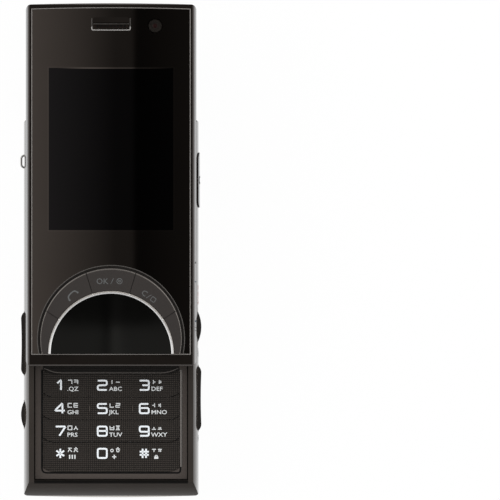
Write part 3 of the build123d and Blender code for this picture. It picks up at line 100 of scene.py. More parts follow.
# Strokes of the digits, in a box one wide and one high
DIGITS = {
    "1": [[(0.18, 0.72), (0.48, 1), (0.58, 1), (0.58, 0)]],
    "2": [[(0, 1), (1, 1), (1, 0.52), (0, 0.48), (0, 0), (1, 0)]],
    "3": [[(0, 1), (1, 1), (1, 0), (0, 0)], [(0.3, 0.5), (1, 0.5)]],
    "4": [[(0.74, 0), (0.74, 1), (0.64, 1), (0, 0.38), (0, 0.28), (1, 0.28)]],
    "5": [[(1, 1), (0, 1), (0, 0.56), (1, 0.56), (1, 0), (0, 0)]],
    "6": [[(0.95, 1), (0, 1), (0, 0), (1, 0), (1, 0.56), (0, 0.56)]],
    "7": [[(0, 1), (1, 1), (1, 0.88), (0.4, 0)]],
    "8": [[(0, 0), (0, 1), (1, 1), (1, 0), (0, 0)], [(0, 0.52), (1, 0.52)]],
    "9": [[(0.05, 0), (1, 0), (1, 1), (0, 1), (0, 0.44), (1, 0.44)]],
    "0": [[(0, 0), (0, 1), (1, 1), (1, 0), (0, 0)]],
    "star": [[(0.5, 1), (0.5, 0)], [(0.07, 0.78), (0.93, 0.22)], [(0.07, 0.22), (0.93, 0.78)]],
    "hash": [[(0.32, 0), (0.32, 1)], [(0.7, 0), (0.7, 1)], [(0, 0.34), (1, 0.34)], [(0, 0.68), (1, 0.68)]],
}

# Strokes of the small letters above the Latin ones, in the same kind of box
JAMO = {
    "giyeok": [[(0, 1), (1, 1), (1, 0)]],
    "kieuk": [[(0, 1), (1, 1), (1, 0)], [(0, 0.5), (1, 0.5)]],
    "i": [[(0.5, 1), (0.5, 0)]],
    "eu": [[(0, 0.45), (1, 0.45)]],
    "a": [[(0.35, 1), (0.35, 0)], [(0.35, 0.5), (0.9, 0.5)]],
    "ya": [[(0.35, 1), (0.35, 0)], [(0.35, 0.68), (0.9, 0.68)], [(0.35, 0.32), (0.9, 0.32)]],
    "digeut": [[(1, 1), (0, 1), (0, 0), (1, 0)]],
    "tieut": [[(1, 1), (0, 1), (0, 0), (1, 0)], [(0, 0.5), (1, 0.5)]],
    "nieun": [[(0, 1), (0, 0), (1, 0)]],
    "rieul": [[(0, 1), (1, 1), (1, 0.5), (0, 0.5), (0, 0), (1, 0)]],
    "eo": [[(0.65, 1), (0.65, 0)], [(0.1, 0.5), (0.65, 0.5)]],
    "yeo": [[(0.65, 1), (0.65, 0)], [(0.1, 0.68), (0.65, 0.68)], [(0.1, 0.32), (0.65, 0.32)]],
    "mieum": [[(0, 0), (0, 1), (1, 1), (1, 0), (0, 0)]],
    "siot": [[(0.5, 1), (0.45, 0.6), (0, 0)], [(0.5, 0.62), (1, 0)]],
    "bieup": [[(0, 1), (0, 0), (1, 0), (1, 1)], [(0, 0.5), (1, 0.5)]],
    "pieup": [[(0, 1), (1, 1)], [(0, 0), (1, 0)], [(0.3, 1), (0.3, 0)], [(0.7, 1), (0.7, 0)]],
    "o": [[(0.5, 0.7), (0.5, 0.1)], [(0, 0.1), (1, 0.1)]],
    "yo": [[(0.3, 0.7), (0.3, 0.1)], [(0.7, 0.7), (0.7, 0.1)], [(0, 0.1), (1, 0.1)]],
    "jieut": [[(0, 1), (1, 1)], [(0.5, 1), (0, 0)], [(0.5, 0.6), (1, 0)]],
    "chieut": [[(0.3, 1.1), (0.7, 1.1)], [(0, 0.8), (1, 0.8)], [(0.5, 0.8), (0, 0)], [(0.5, 0.5), (1, 0)]],
    "hieut": [[(0.3, 1.1), (0.7, 1.1)], [(0, 0.8), (1, 0.8)]],
    "u": [[(0, 0.7), (1, 0.7)], [(0.5, 0.7), (0.5, 0)]],
    "yu": [[(0, 0.7), (1, 0.7)], [(0.3, 0.7), (0.3, 0)], [(0.7, 0.7), (0.7, 0)]],
}


def colour(name, description, default):
    """A colour that a user would change."""
    return FloatVectorProperty(
        name=name, description=description, subtype="COLOR", size=3, min=0, max=1, default=default
    )


def length(name, description, default):
    """A length in metres that a user would change."""
    return FloatProperty(
        name=name, description=description, subtype="DISTANCE", unit="LENGTH", default=default
    )


class PhoneFinishes(bpy.types.PropertyGroup):
    """Colours of the phone's finishes."""

    case: colour("Case", "Textured plastic of the lower half", (0.034, 0.0285, 0.0245))
    bezel: colour("Bezel", "Satin paint round the number keys", (0.086, 0.072, 0.064))
    silver: colour("Silver", "Pearl paint of the rear case and battery cover", (0.56, 0.53, 0.495))
    keys: colour("Keys", "Gridded number keys", (0.0232, 0.0190, 0.0160))
    rim: colour("Slider frame", "Lacquered plastic round the window", (0.0085, 0.0066, 0.0054))
    mask: colour("Mask", "Print behind the window", (0.047, 0.039, 0.034))
    display: colour("Display", "Dark display behind the window", (0.0115, 0.0105, 0.0108))
    arch: colour("Arch", "Satin paint of the arch keys", (0.040, 0.034, 0.031))
    pad: colour("Pad", "Gloss of the half-moon pad", (0.0245, 0.0240, 0.0222))
    ink: colour("Ink", "Print of the digits", (0.86, 0.90, 0.93))
    fine_ink: colour("Fine ink", "Print of the small letters", (0.70, 0.72, 0.72))
    signal: colour("Signal", "Print beside the end key", (0.32, 0.050, 0.015))


class PhoneMarks(bpy.types.PropertyGroup):
    """Sizes of the printed marks."""

    digit_width: length("Digit width", "Width of a digit's strokes, middle to middle", 2.45 * MM)
    digit_height: length("Digit height", "Height of a digit's strokes, middle to middle", 2.5 * MM)
    digit_stroke: length("Digit stroke", "Width of a digit's stroke", 0.47 * MM)
    digit_below: length("Digit drop", "From a row's upper edge down to its digits' middle", 3.0 * MM)
    digit_left: length("First digit", "From the middle plane to the left column's digits", 13.75 * MM)
    digit_pitch: length("Digit pitch", "From one column's digits to the next column's", 11.35 * MM)
    legend_start: length("Legend start", "From a digit's middle to its small letters", 1.85 * MM)
    letter_height: length("Letter height", "Height of the small letters", 1.1 * MM)
    letter_stroke: length("Letter stroke", "Width of the small letters' strokes", 0.24 * MM)
    lift: length("Ink thickness", "How far the ink stands off the surface", 0.02 * MM)
    grid: length("Key grid", "Pitch of the fine grid on the number keys", 0.56 * MM)


class PhoneStudio(bpy.types.PropertyGroup):
    """Camera, lamps and backdrop."""

    view_width: length("View width", "Width of the picture at the window", 135.0 * MM)
    view_x: length("View middle", "Middle of the picture from the phone's middle plane", 37.53 * MM)
    view_y: length("View height", "Middle of the picture along the phone", 15.68 * MM)
    distance: length("Camera distance", "From the window up to the camera", 6.0)
    sky: FloatProperty(name="Sky", description="Level of the even light", default=0.62)
    box: FloatProperty(name="Soft box", description="Brightness of each soft box", default=5.0)
    white: FloatProperty(
        name="White", description="Share of plain white in the floor", subtype="FACTOR", default=0.96
    )


class Value:
    """A shader socket that Python's operators turn into Math nodes."""

    def __init__(self, shader, socket):
        self.shader = shader
        self.socket = socket

    def math(self, operation, *others):
        return self.shader.math(operation, self, *others)

    def __add__(self, other):
        return self.math("ADD", other)

    def __sub__(self, other):
        return self.math("SUBTRACT", other)

    def __mul__(self, other):
        return self.math("MULTIPLY", other)

    def __truediv__(self, other):
        return self.math("DIVIDE", other)

    def __rsub__(self, other):
        return self.shader.math("SUBTRACT", other, self)

    def __abs__(self):
        return self.math("ABSOLUTE")

    __radd__ = __add__
    __rmul__ = __mul__

    def larger(self, other):
        return self.math("MAXIMUM", other)

    def rise(self, low, high):
        """0 below low, 1 above high and smooth between; low may be the larger of the two."""
        values = {"Value": self, "From Min": low, "From Max": high}
        return self.shader.node("MapRange", {"interpolation_type": "SMOOTHSTEP"}, values)

    def ramp(self, low, high, start, end):
        """Straight from start at low to end at high, and level outside."""
        values = {"Value": self, "From Min": low, "From Max": high, "To Min": start, "To Max": end}
        return self.shader.node("MapRange", {"clamp": True}, values)


class Shader:
    """The node tree of one material or of the world."""

    def __init__(self, owner):
        owner.use_nodes = True
        self.owner = owner
        self.tree = owner.node_tree
        self.tree.nodes.clear()

    def node(self, kind, settings=None, values=None, output=0):
        """Adds a node, applies its settings, then fills its sockets with values or links."""
        made = self.tree.nodes.new("ShaderNode" + kind)
        for name, setting in (settings or {}).items():
            setattr(made, name, setting)
        for name, value in (values or {}).items():
            if isinstance(value, Value):
                self.tree.links.new(value.socket, made.inputs[name])
            else:
                made.inputs[name].default_value = value
        return Value(self, made.outputs[output]) if made.outputs else made

    def math(self, operation, *inputs):
        return self.node("Math", {"operation": operation}, dict(enumerate(inputs)))

    def blend(self, factor, first, second):
        """One colour going over into another."""
        return self.node("Mix", {"data_type": "RGBA"}, {0: factor, 6: first, 7: second}, 2)

    def vary(self, factor, tone, low, high):
        """A colour that goes from one share of itself to another."""
        return self.blend(factor, rgba(tone, low), rgba(tone, high))

    def place(self):
        """A point of the piece in the phone's own frame, in metres."""
        return self.node("TexCoord", output="Object")

    def axes(self, vector):
        """The three numbers of a vector."""
        parts = self.node("SeparateXYZ", values={"Vector": vector}).socket.node.outputs
        return [Value(self, part) for part in parts]

    def normal(self):
        """The three numbers of the direction that the surface faces."""
        return self.axes(self.node("NewGeometry", output="Normal"))

    def noise(self, size, detail=3.0, stretch=(1, 1, 1)):
        """Cloudy noise whose patches are about as large as size."""
        place = self.node("Mapping", None, {"Vector": self.place(), "Scale": stretch})
        return self.node("TexNoise", None, {"Vector": place, "Scale": 1 / size, "Detail": detail})

    def cells(self, size):
        """A different grey for each small cell."""
        values = {"Vector": self.place(), "Scale": 1 / size}
        tint = self.node("TexVoronoi", None, values, "Color")
        return self.node("RGBToBW", values={"Color": tint})

    def bump(self, height, depth):
        """A normal that follows a height."""
        return self.node("Bump", None, {"Height": height, "Distance": depth, "Strength": 1.0})

    def lacquer(self, share):
        """Sockets of a clear coat on the left and right flanks that turns bright at a glancing view."""
        if not share:
            return {}
        facing = self.node("LayerWeight", None, {"Blend": 0.5}, "Facing")
        sideways = abs(self.normal()[0]).rise(0.4, 0.8)
        weight = facing.ramp(0.54, 0.8, 0.0, share) * sideways
        return {"Coat Weight": weight, "Coat IOR": 4.0, "Coat Roughness": 0.05}

    def surface(self, values):
        """The material, with a Principled shader on its output."""
        self.end(self.node("BsdfPrincipled", None, values))
        return self.owner

    def end(self, surface, kind="Material"):
        """Joins a shader to the output."""
        self.node("Output" + kind, None, {"Surface": surface})


def shade(tone, share):
    """A colour made darker or lighter by a share."""
    return [part * share for part in tone]


def rgba(tone, share=1.0):
    """A colour for a socket, scaled by a share."""
    return (*shade(tone, share), 1.0)


def new_shader(name):
    """The empty shader of a new material."""
    return Shader(bpy.data.materials.new(name))


def middle_of(name):
    """The middle of a CAD node."""
    low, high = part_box(name)
    return (low + high) / 2


# Finishes
def moulded_plastic(name, tone, roughness=0.5, grain=0.14 * MM, specular=0.4, flank=None, coat=0.0):
    """Plastic from an etched mould, with a fine grain; its flanks may be polished and lacquered."""
    shader = new_shader(name)
    cloud = shader.noise(7 * MM)
    gloss = cloud * 0.16 + (roughness - 0.08)
    height = shader.noise(grain, 2.0)
    if flank:
        level = abs(shader.normal()[2]).rise(0.5, 0.7)
        gloss = gloss * level + (1 - level) * flank
        height = height * level
    return shader.surface({
        "Base Color": shader.vary(cloud, tone, 0.82, 1.18),
        "Roughness": gloss,
        "Specular IOR Level": specular,
        "Normal": shader.bump(height, 0.006 * MM),
        **shader.lacquer(coat),
    })


def satin_paint(name, tone, roughness=0.4, flake=0.09 * MM, metallic=0.35, edge=None):
    """Satin paint with fine flakes; its slanted edges may take a lighter, metallic tone, a painted highlight
    on the bevels.
    """
    shader = new_shader(name)
    flakes = shader.cells(flake)
    cloud = shader.noise(9 * MM)
    tint = shader.vary(flakes, tone, 0.8, 1.2)
    shine = metallic
    gloss = cloud * 0.12 + (roughness - 0.06)
    # Painted highlight: slanted faces go over to the light metal edge colour, which the lamps' reflection
    # makes brighter still
    if edge:
        slant = shader.normal()[2].rise(0.93, 0.82)
        tint = shader.blend(slant, tint, rgba(edge))
        shine = slant * (1 - metallic) + metallic
        gloss = gloss * (1 - slant * 0.6)
    return shader.surface({
        "Base Color": tint,
        "Metallic": shine,
        "Roughness": gloss,
        "Normal": shader.bump(shader.noise(0.2 * MM, 2.0), 0.003 * MM),
    })


def lacquered_plastic(name, tone, roughness=0.22, specular=0.5, edge=None):
    """Dark glossy plastic with faint wipe marks; its bevels may take a lighter, metallic tone, a painted
    highlight on them.
    """
    shader = new_shader(name)
    wipe = shader.noise(3 * MM, 4.0, (1, 0.25, 1))
    tint = shader.vary(wipe, tone, 0.85, 1.15)
    bevel = 0.0
    # Painted highlight: sloping faces go over to a lighter metal that shows brighter reflections than the
    # flat top
    if edge:
        upright = shader.normal()[2]
        bevel = upright.rise(0.97, 0.9) * upright.rise(0.35, 0.5)
        tint = shader.blend(bevel, tint, rgba(edge))
    return shader.surface({
        "Base Color": tint,
        "Metallic": bevel,
        "Roughness": wipe * 0.12 + (roughness - 0.06),
        "Specular IOR Level": specular,
        "Normal": shader.bump(shader.noise(0.8 * MM, 2.0), 0.002 * MM),
    })


def grid_lines(shader, pitch):
    """1 in the grooves of a fine square grid and 0 on its fields."""
    x, y, _ = shader.axes(shader.place())
    across = abs((x / pitch).math("FRACT") - 0.5)
    along = abs((y / pitch).math("FRACT") - 0.5)
    return across.larger(along).rise(0.28, 0.4)


def gridded_keys(name, tone, pitch):
    """Key plastic with a fine square grid moulded into it; its grooves are painted darker, as shade."""
    shader = new_shader(name)
    groove = grid_lines(shader, pitch)
    cloud = shader.noise(8 * MM)
    field = shader.vary(cloud, tone, 1.3, 1.9)
    return shader.surface({
        # Painted shade: the grooves are much darker than the fields
        "Base Color": shader.blend(groove, field, rgba(tone, 0.25)),
        "Roughness": groove * 0.15 + 0.38,
        "Specular IOR Level": 0.22,
        "Normal": shader.bump(1 - groove, 0.03 * MM),
    })


def bezel_paint(name, tones, pitch):
    """Satin paint round the keys; the strip above the top row is gridded like the keys and painted darker, a
    painted shadow of the slider that overhangs it.
    """
    shader = new_shader(name)
    x, y, _ = shader.axes(shader.place())
    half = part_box("key_3")[1].x + 0.1 * MM
    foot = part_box("key_2")[0].y
    header = (half - abs(x)).rise(0, 0.05 * MM) * (y - foot).rise(0, 0.05 * MM)
    groove = grid_lines(shader, pitch)
    satin = shader.vary(shader.cells(0.09 * MM), tones.bezel, 0.8, 1.2)
    # Painted shadow: the strip's fields and grooves are darker than the keys', as if in the slider's shadow
    strip = shader.vary(groove, tones.keys, 0.66, 0.13)
    return shader.surface({
        "Base Color": shader.blend(header, satin, strip),
        "Metallic": (1 - header) * 0.35,
        "Roughness": shader.noise(9 * MM) * 0.12 + 0.36,
        "Specular IOR Level": 0.2,
        "Normal": shader.bump(1 - groove * header, 0.03 * MM),
    })


def brushed_metal(name, tone, roughness=0.3, along=(1, 0.03, 1)):
    """Drawn sheet metal with brush lines along one axis."""
    shader = new_shader(name)
    lines = shader.noise(0.12 * MM, 4.0, along)
    return shader.surface({
        "Base Color": shader.vary(lines, tone, 0.78, 1.1),
        "Metallic": 1.0,
        "Roughness": lines * 0.2 + (roughness - 0.1),
        "Normal": shader.bump(lines, 0.004 * MM),
    })


def polished_metal(name, tone, roughness=0.1):
    """Plated metal with a few hairline scratches."""
    shader = new_shader(name)
    scratch = shader.noise(0.25 * MM, 5.0, (1, 0.2, 1)).rise(0.62, 0.72)
    return shader.surface({
        "Base Color": shader.vary(scratch, tone, 1.0, 0.92),
        "Metallic": 1.0,
        "Roughness": scratch * 0.08 + roughness,
    })


def soft_rubber(name, tone):
    """Matt rubber with a powdery bloom."""
    shader = new_shader(name)
    bloom = shader.noise(1.5 * MM, 5.0)
    return shader.surface({
        "Base Color": shader.vary(bloom, tone, 0.85, 1.25),
        "Roughness": bloom * 0.15 + 0.72,
        "Specular IOR Level": 0.25,
        "Normal": shader.bump(shader.noise(0.1 * MM, 2.0), 0.008 * MM),
    })


def circuit_board(name):
    """Green board with copper tracks under the mask and small pads."""
    shader = new_shader(name)
    x, _, _ = shader.axes(shader.place())
    bend = shader.noise(4 * MM, 0.0) * 6
    track = abs((x / (0.9 * MM) + bend).math("FRACT") - 0.5).rise(0.12, 0.2)
    spacing = {"Vector": shader.place(), "Scale": 1 / (2.4 * MM)}
    pad = shader.node("TexVoronoi", {"distance": "CHEBYCHEV"}, spacing).rise(0.2, 0.16)
    green = shader.blend(track, (0.02, 0.11, 0.045, 1), (0.008, 0.055, 0.022, 1))
    return shader.surface({
        "Base Color": shader.blend(pad, green, (0.62, 0.47, 0.2, 1)),
        "Metallic": pad,
        "Roughness": 0.36,
        "Normal": shader.bump(track, 0.02 * MM),
    })


def battery_wrap(name):
    """Grey shrink wrap with faint creases."""
    shader = new_shader(name)
    crease = shader.noise(5 * MM, 4.0, (1, 0.3, 1))
    return shader.surface({
        "Base Color": shader.blend(crease, (0.16, 0.165, 0.17, 1), (0.24, 0.245, 0.25, 1)),
        "Roughness": crease * 0.2 + 0.3,
        "Normal": shader.bump(crease, 0.05 * MM),
    })


def amber_film(name):
    """Amber film with fine copper lines along it."""
    shader = new_shader(name)
    x, _, _ = shader.axes(shader.place())
    line = abs((x / (0.35 * MM)).math("FRACT") - 0.5).rise(0.22, 0.3)
    return shader.surface({
        "Base Color": shader.blend(line, (0.42, 0.16, 0.03, 1), (0.23, 0.07, 0.012, 1)),
        "Roughness": line * 0.1 + 0.32,
        "Normal": shader.bump(line, 0.01 * MM),
    })


def printing_ink(name, tone, coat=0.0):
    """Screen-printed ink with small uneven spots, perhaps under the flanks' clear coat."""
    shader = new_shader(name)
    spots = shader.noise(0.12 * MM, 3.0)
    return shader.surface({
        "Base Color": shader.vary(spots, tone, 0.86, 1.08),
        "Roughness": spots * 0.2 + 0.45,
        "Specular IOR Level": 0.3,
        **shader.lacquer(coat),
    })


def window_glass(name, tones):
    """The window: a dark print behind the glass, a darker display with a painted highlight along its top
    edge, and a clear spot over the camera.
    """
    shader = new_shader(name)
    x, y, _ = shader.axes(shader.place())
    half, foot, head = 16.74 * MM, 21.1 * MM, 64.8 * MM
    across = abs(x) - half
    along = abs(y - (foot + head) / 2) - (head - foot) / 2
    outside = across.larger(along)
    display = outside.rise(0.12 * MM, 0.0)
    border = abs(outside - 0.25 * MM).rise(0.22 * MM, 0.05 * MM)
    smear = shader.noise(16 * MM, 4.0)
    mask = shader.vary(smear, tones.mask, 0.93, 1.07)
    tint = shader.blend(display, mask, rgba(tones.display))
    tint = shader.blend(border * 0.35, tint, rgba(tones.mask, 1.6))
    # A painted highlight along the top edge of the display, strongest in the middle and fading out towards
    # both sides
    highlight_fade = x.rise(-15 * MM, -3 * MM) * x.rise(18 * MM, 8 * MM)
    painted_top_highlight = abs(y - head).rise(0.22 * MM, 0.06 * MM) * highlight_fade
    tint = shader.blend(painted_top_highlight, tint, rgba(tones.mask, 4.0))
    camera = middle_of("front_camera")
    beside = x - camera.x
    below = y - camera.y
    clear = shader.math("SQRT", beside * beside + below * below).rise(2.1 * MM, 1.9 * MM)
    return shader.surface({
        "Base Color": tint,
        "Metallic": 1.0,
        "Roughness": smear * 0.006 + 0.004,
        "Alpha": 1 - clear * 0.75,
    })


def clear_glass(name):
    """Small clear lens glass with a coated tint and a trace of dust."""
    shader = new_shader(name)
    dust = shader.noise(0.6 * MM, 4.0).rise(0.6, 0.75)
    return shader.surface({
        "Base Color": (0.9, 0.92, 0.96, 1),
        "Roughness": dust * 0.12 + 0.02,
        "Transmission Weight": 1.0,
        "IOR": 1.5,
    })


def gloss_pad(name, tone, roughness=0.05):
    """Polished dark coating with faint finger smears."""
    shader = new_shader(name)
    smear = shader.noise(5 * MM, 4.0, (1, 0.5, 1))
    return shader.surface({
        "Base Color": shader.vary(smear, tone, 0.95, 1.05),
        "Metallic": 1.0,
        "Roughness": smear * 0.05 + (roughness - 0.02),
    })


def dress(material, *names):
    """Puts a material on CAD nodes."""
    for name in names:
        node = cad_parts[name]
        if not node.material_slots:
            node.data.materials.append(material)
        for held in node.material_slots:
            held.material = material


# Building marks and trim
def around(spot, steps):
    """Points given in millimetres from a spot."""
    return [(spot[0] + x * MM, spot[1] + y * MM) for x, y in steps]


def rounded_path(points, radius, steps=3):
    """A path with its inner corners rounded off, also at the start of one that comes back to it."""
    points = [Vector(point) for point in points]
    closed = (points[0] - points[-1]).length < 1e-9
    if closed:
        points = points[:-1]
    path = []
    for number, point in enumerate(points):
        before = points[number - 1]
        after = points[(number + 1) % len(points)]
        at_end = not closed and number in (0, len(points) - 1)
        if at_end or not radius:
            path.append(point)
            continue
        reach = min(radius, (before - point).length / 2, (after - point).length / 2)
        start = point + (before - point).normalized() * reach
        end = point + (after - point).normalized() * reach
        for step in range(steps + 1):
            share = step / steps
            path.append(start.lerp(point, share).lerp(point.lerp(end, share), share))
    return path, closed


def offsets(path, closed):
    """For each point of a flat path, the sideways step that keeps a strip's width even round its bends."""
    steps = []
    last = len(path) - 1
    for number, point in enumerate(path):
        ways = []
        if closed or number > 0:
            ways.append((point - path[number - 1]).normalized())
        if closed or number < last:
            ways.append((path[(number + 1) % len(path)] - point).normalized())
        sides = [Vector((-way.y, way.x)) for way in ways]
        side = sum(sides, Vector((0, 0))).normalized()
        steps.append(side / max(side.dot(sides[0]), 0.5))
    return steps


def stroke(bm, points, width, radius=SHARP, index=0):
    """Adds one flat stroke of a mark."""
    path, closed = rounded_path(points, radius)
    rows = []
    for point, step in zip(path, offsets(path, closed)):
        ends = (point + step * width / 2, point - step * width / 2)
        rows.append([bm.verts.new((end.x, end.y, 0)) for end in ends])
    if closed:
        rows.append(rows[0])
    for first, second in zip(rows, rows[1:]):
        face = bm.faces.new((first[0], first[1], second[1], second[0]))
        face.material_index = index


def glyph(bm, strokes, corner, size, width, radius, index=0):
    """Adds a sign given by strokes in a box one wide and one high."""
    for points in strokes:
        placed = [(corner[0] + x * size[0], corner[1] + y * size[1]) for x, y in points]
        stroke(bm, placed, width, radius, index)


def ring(middle, radius, steps=20, turn=(0.0, 360.0)):
    """Points round a circle or an arc, in degrees from straight right."""
    points = []
    for step in range(steps + 1):
        angle = math.radians(turn[0] + (turn[1] - turn[0]) * step / steps)
        points.append((middle[0] + radius * math.cos(angle), middle[1] + radius * math.sin(angle)))
    return points


def letters(bm, text, start, height, index=0, stretch=1.0, weight=0.0):
    """Adds plain letters of the built-in font, as flat faces; they may be wider and bolder."""
    curve = bpy.data.curves.new("letters", "FONT")
    curve.body = text
    curve.resolution_u = 2
    curve.offset = weight
    carrier = bpy.data.objects.new("letters", curve)
    bpy.context.scene.collection.objects.link(carrier)
    bpy.context.view_layer.update()
    mesh = bpy.data.meshes.new_from_object(carrier.evaluated_get(bpy.context.evaluated_depsgraph_get()))
    scale = height / max(vertex.co.y for vertex in mesh.vertices)
    made = []
    for vertex in mesh.vertices:
        x = start[0] + vertex.co.x * scale * stretch
        y = start[1] + vertex.co.y * scale
        made.append(bm.verts.new((x, y, 0)))
    for polygon in mesh.polygons:
        face = bm.faces.new([made[number] for number in polygon.vertices])
        face.material_index = index
    bpy.data.objects.remove(carrier)
    bpy.data.curves.remove(curve)
    bpy.data.meshes.remove(mesh)


def turn_marks(bm, angle, middle):
    """Turns flat marks about a point."""
    sine, cosine = math.sin(angle), math.cos(angle)
    for vert in bm.verts:
        x, y = vert.co.x - middle[0], vert.co.y - middle[1]
        vert.co = Vector((middle[0] + x * cosine - y * sine, middle[1] + x * sine + y * cosine, 0))


def lay_on(bm, name, lift):
    """Lays flat marks on a node from above and gives the ink a little thickness."""
    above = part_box(name)[1].z + 1 * MM
    for vert in bm.verts:
        vert.co.z = above
    settle(bm, name, DOWN, lift)


def lay_on_flank(bm, name, lift):
    """Lays flat marks on a node's right flank; the marks' x runs along the phone and their y upward."""
    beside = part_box(name)[1].x + 1 * MM
    for vert in bm.verts:
        vert.co = (beside, vert.co.x, vert.co.y)
    settle(bm, name, LEFTWARD, lift)


def settle(bm, name, way, lift):
    """Moves each point of a mark along a direction onto a node, then thickens the mark."""
    for vert in bm.verts:
        hit, place, _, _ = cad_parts[name].ray_cast(vert.co, way)
        if not hit:
            raise RuntimeError(f"a mark lies beside {name}")
        vert.co = place
    thicken(bm, -way * lift)


def thicken(bm, step):
    """Draws the faces out by a step, with walls round them, in an order that is the same each run."""
    raised = {vert: bm.verts.new(vert.co + step) for vert in bm.verts[:]}
    rims = [(edge.verts[:], edge.link_faces[0].material_index) for edge in bm.edges if edge.is_boundary]
    for face in bm.faces[:]:
        top = bm.faces.new([raised[vert] for vert in face.verts])
        top.material_index = face.material_index
    for (first, second), index in rims:
        wall = bm.faces.new((first, second, raised[second], raised[first]))
        wall.material_index = index
    bmesh.ops.recalc_face_normals(bm, faces=bm.faces[:])


def ridge(bm, points, width, z, height, radius=0.0, index=0):
    """Adds a thin rail along a flat path: two sloping faces and a narrow flat top."""
    path, closed = rounded_path(points, radius)
    rows = []
    for point, step in zip(path, offsets(path, closed)):
        row = []
        for share, level in ((0.5, z), (0.2, z + height), (-0.2, z + height), (-0.5, z)):
            spot = point + step * width * share
            row.append(bm.verts.new((spot.x, spot.y, level)))
        rows.append(row)
    if closed:
        rows.append(rows[0])
    for first, second in zip(rows, rows[1:]):
        for near, far in ((0, 1), (1, 2), (2, 3)):
            face = bm.faces.new((first[near], first[far], second[far], second[near]))
            face.material_index = index
    bmesh.ops.recalc_face_normals(bm, faces=bm.faces[:])


def turned(bm, profile, middle, steps=40, index=0):
    """Adds a round piece from a profile of radius and level."""
    rings = []
    for radius, level in profile:
        if radius == 0:
            rings.append([bm.verts.new((middle.x, middle.y, level))])
            continue
        spots = ring((middle.x, middle.y), radius, steps)[:-1]
        rings.append([bm.verts.new((x, y, level)) for x, y in spots])
    for first, second in zip(rings, rings[1:]):
        for number in range(steps):
            after = (number + 1) % steps
            corners = [first[number % len(first)], first[after % len(first)]]
            corners += [second[after % len(second)], second[number % len(second)]]
            face = bm.faces.new(list(dict.fromkeys(corners)))
            face.smooth = True
            face.material_index = index


def lens(camera, way, profiles):
    """A mesh on a camera's upper face (way 1) or lower face (-1), from profiles of radius and height."""
    low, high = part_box(camera)
    face = high.z if way > 0 else low.z
    bm = bmesh.new()
    for index, profile in enumerate(profiles):
        levels = [(radius * MM, face + way * height * MM) for radius, height in profile]
        turned(bm, levels, middle_of(camera), index=index)
    return bm


def new_piece(name, bm, materials):
    """Makes a piece from a mesh."""
    mesh = bpy.data.meshes.new(name)
    bm.to_mesh(mesh)
    bm.free()
    for material in materials:
        mesh.materials.append(material)
    piece = bpy.data.objects.new(name, mesh)
    bpy.context.scene.collection.objects.link(piece)
    return piece


def add_piece(name, bm, materials, body):
    """Makes a piece from a mesh and lets it ride on a body."""
    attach(new_piece(name, bm, materials), body)


def copy_of(node, side=0):
    """The mesh of a CAD node, or of its half on one side of the middle plane."""
    bm = bmesh.new()
    bm.from_mesh(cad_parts[node].data)
    beyond = [vert for vert in bm.verts if vert.co.x * side < 0]
    bmesh.ops.delete(bm, geom=beyond, context="VERTS")
    return bm


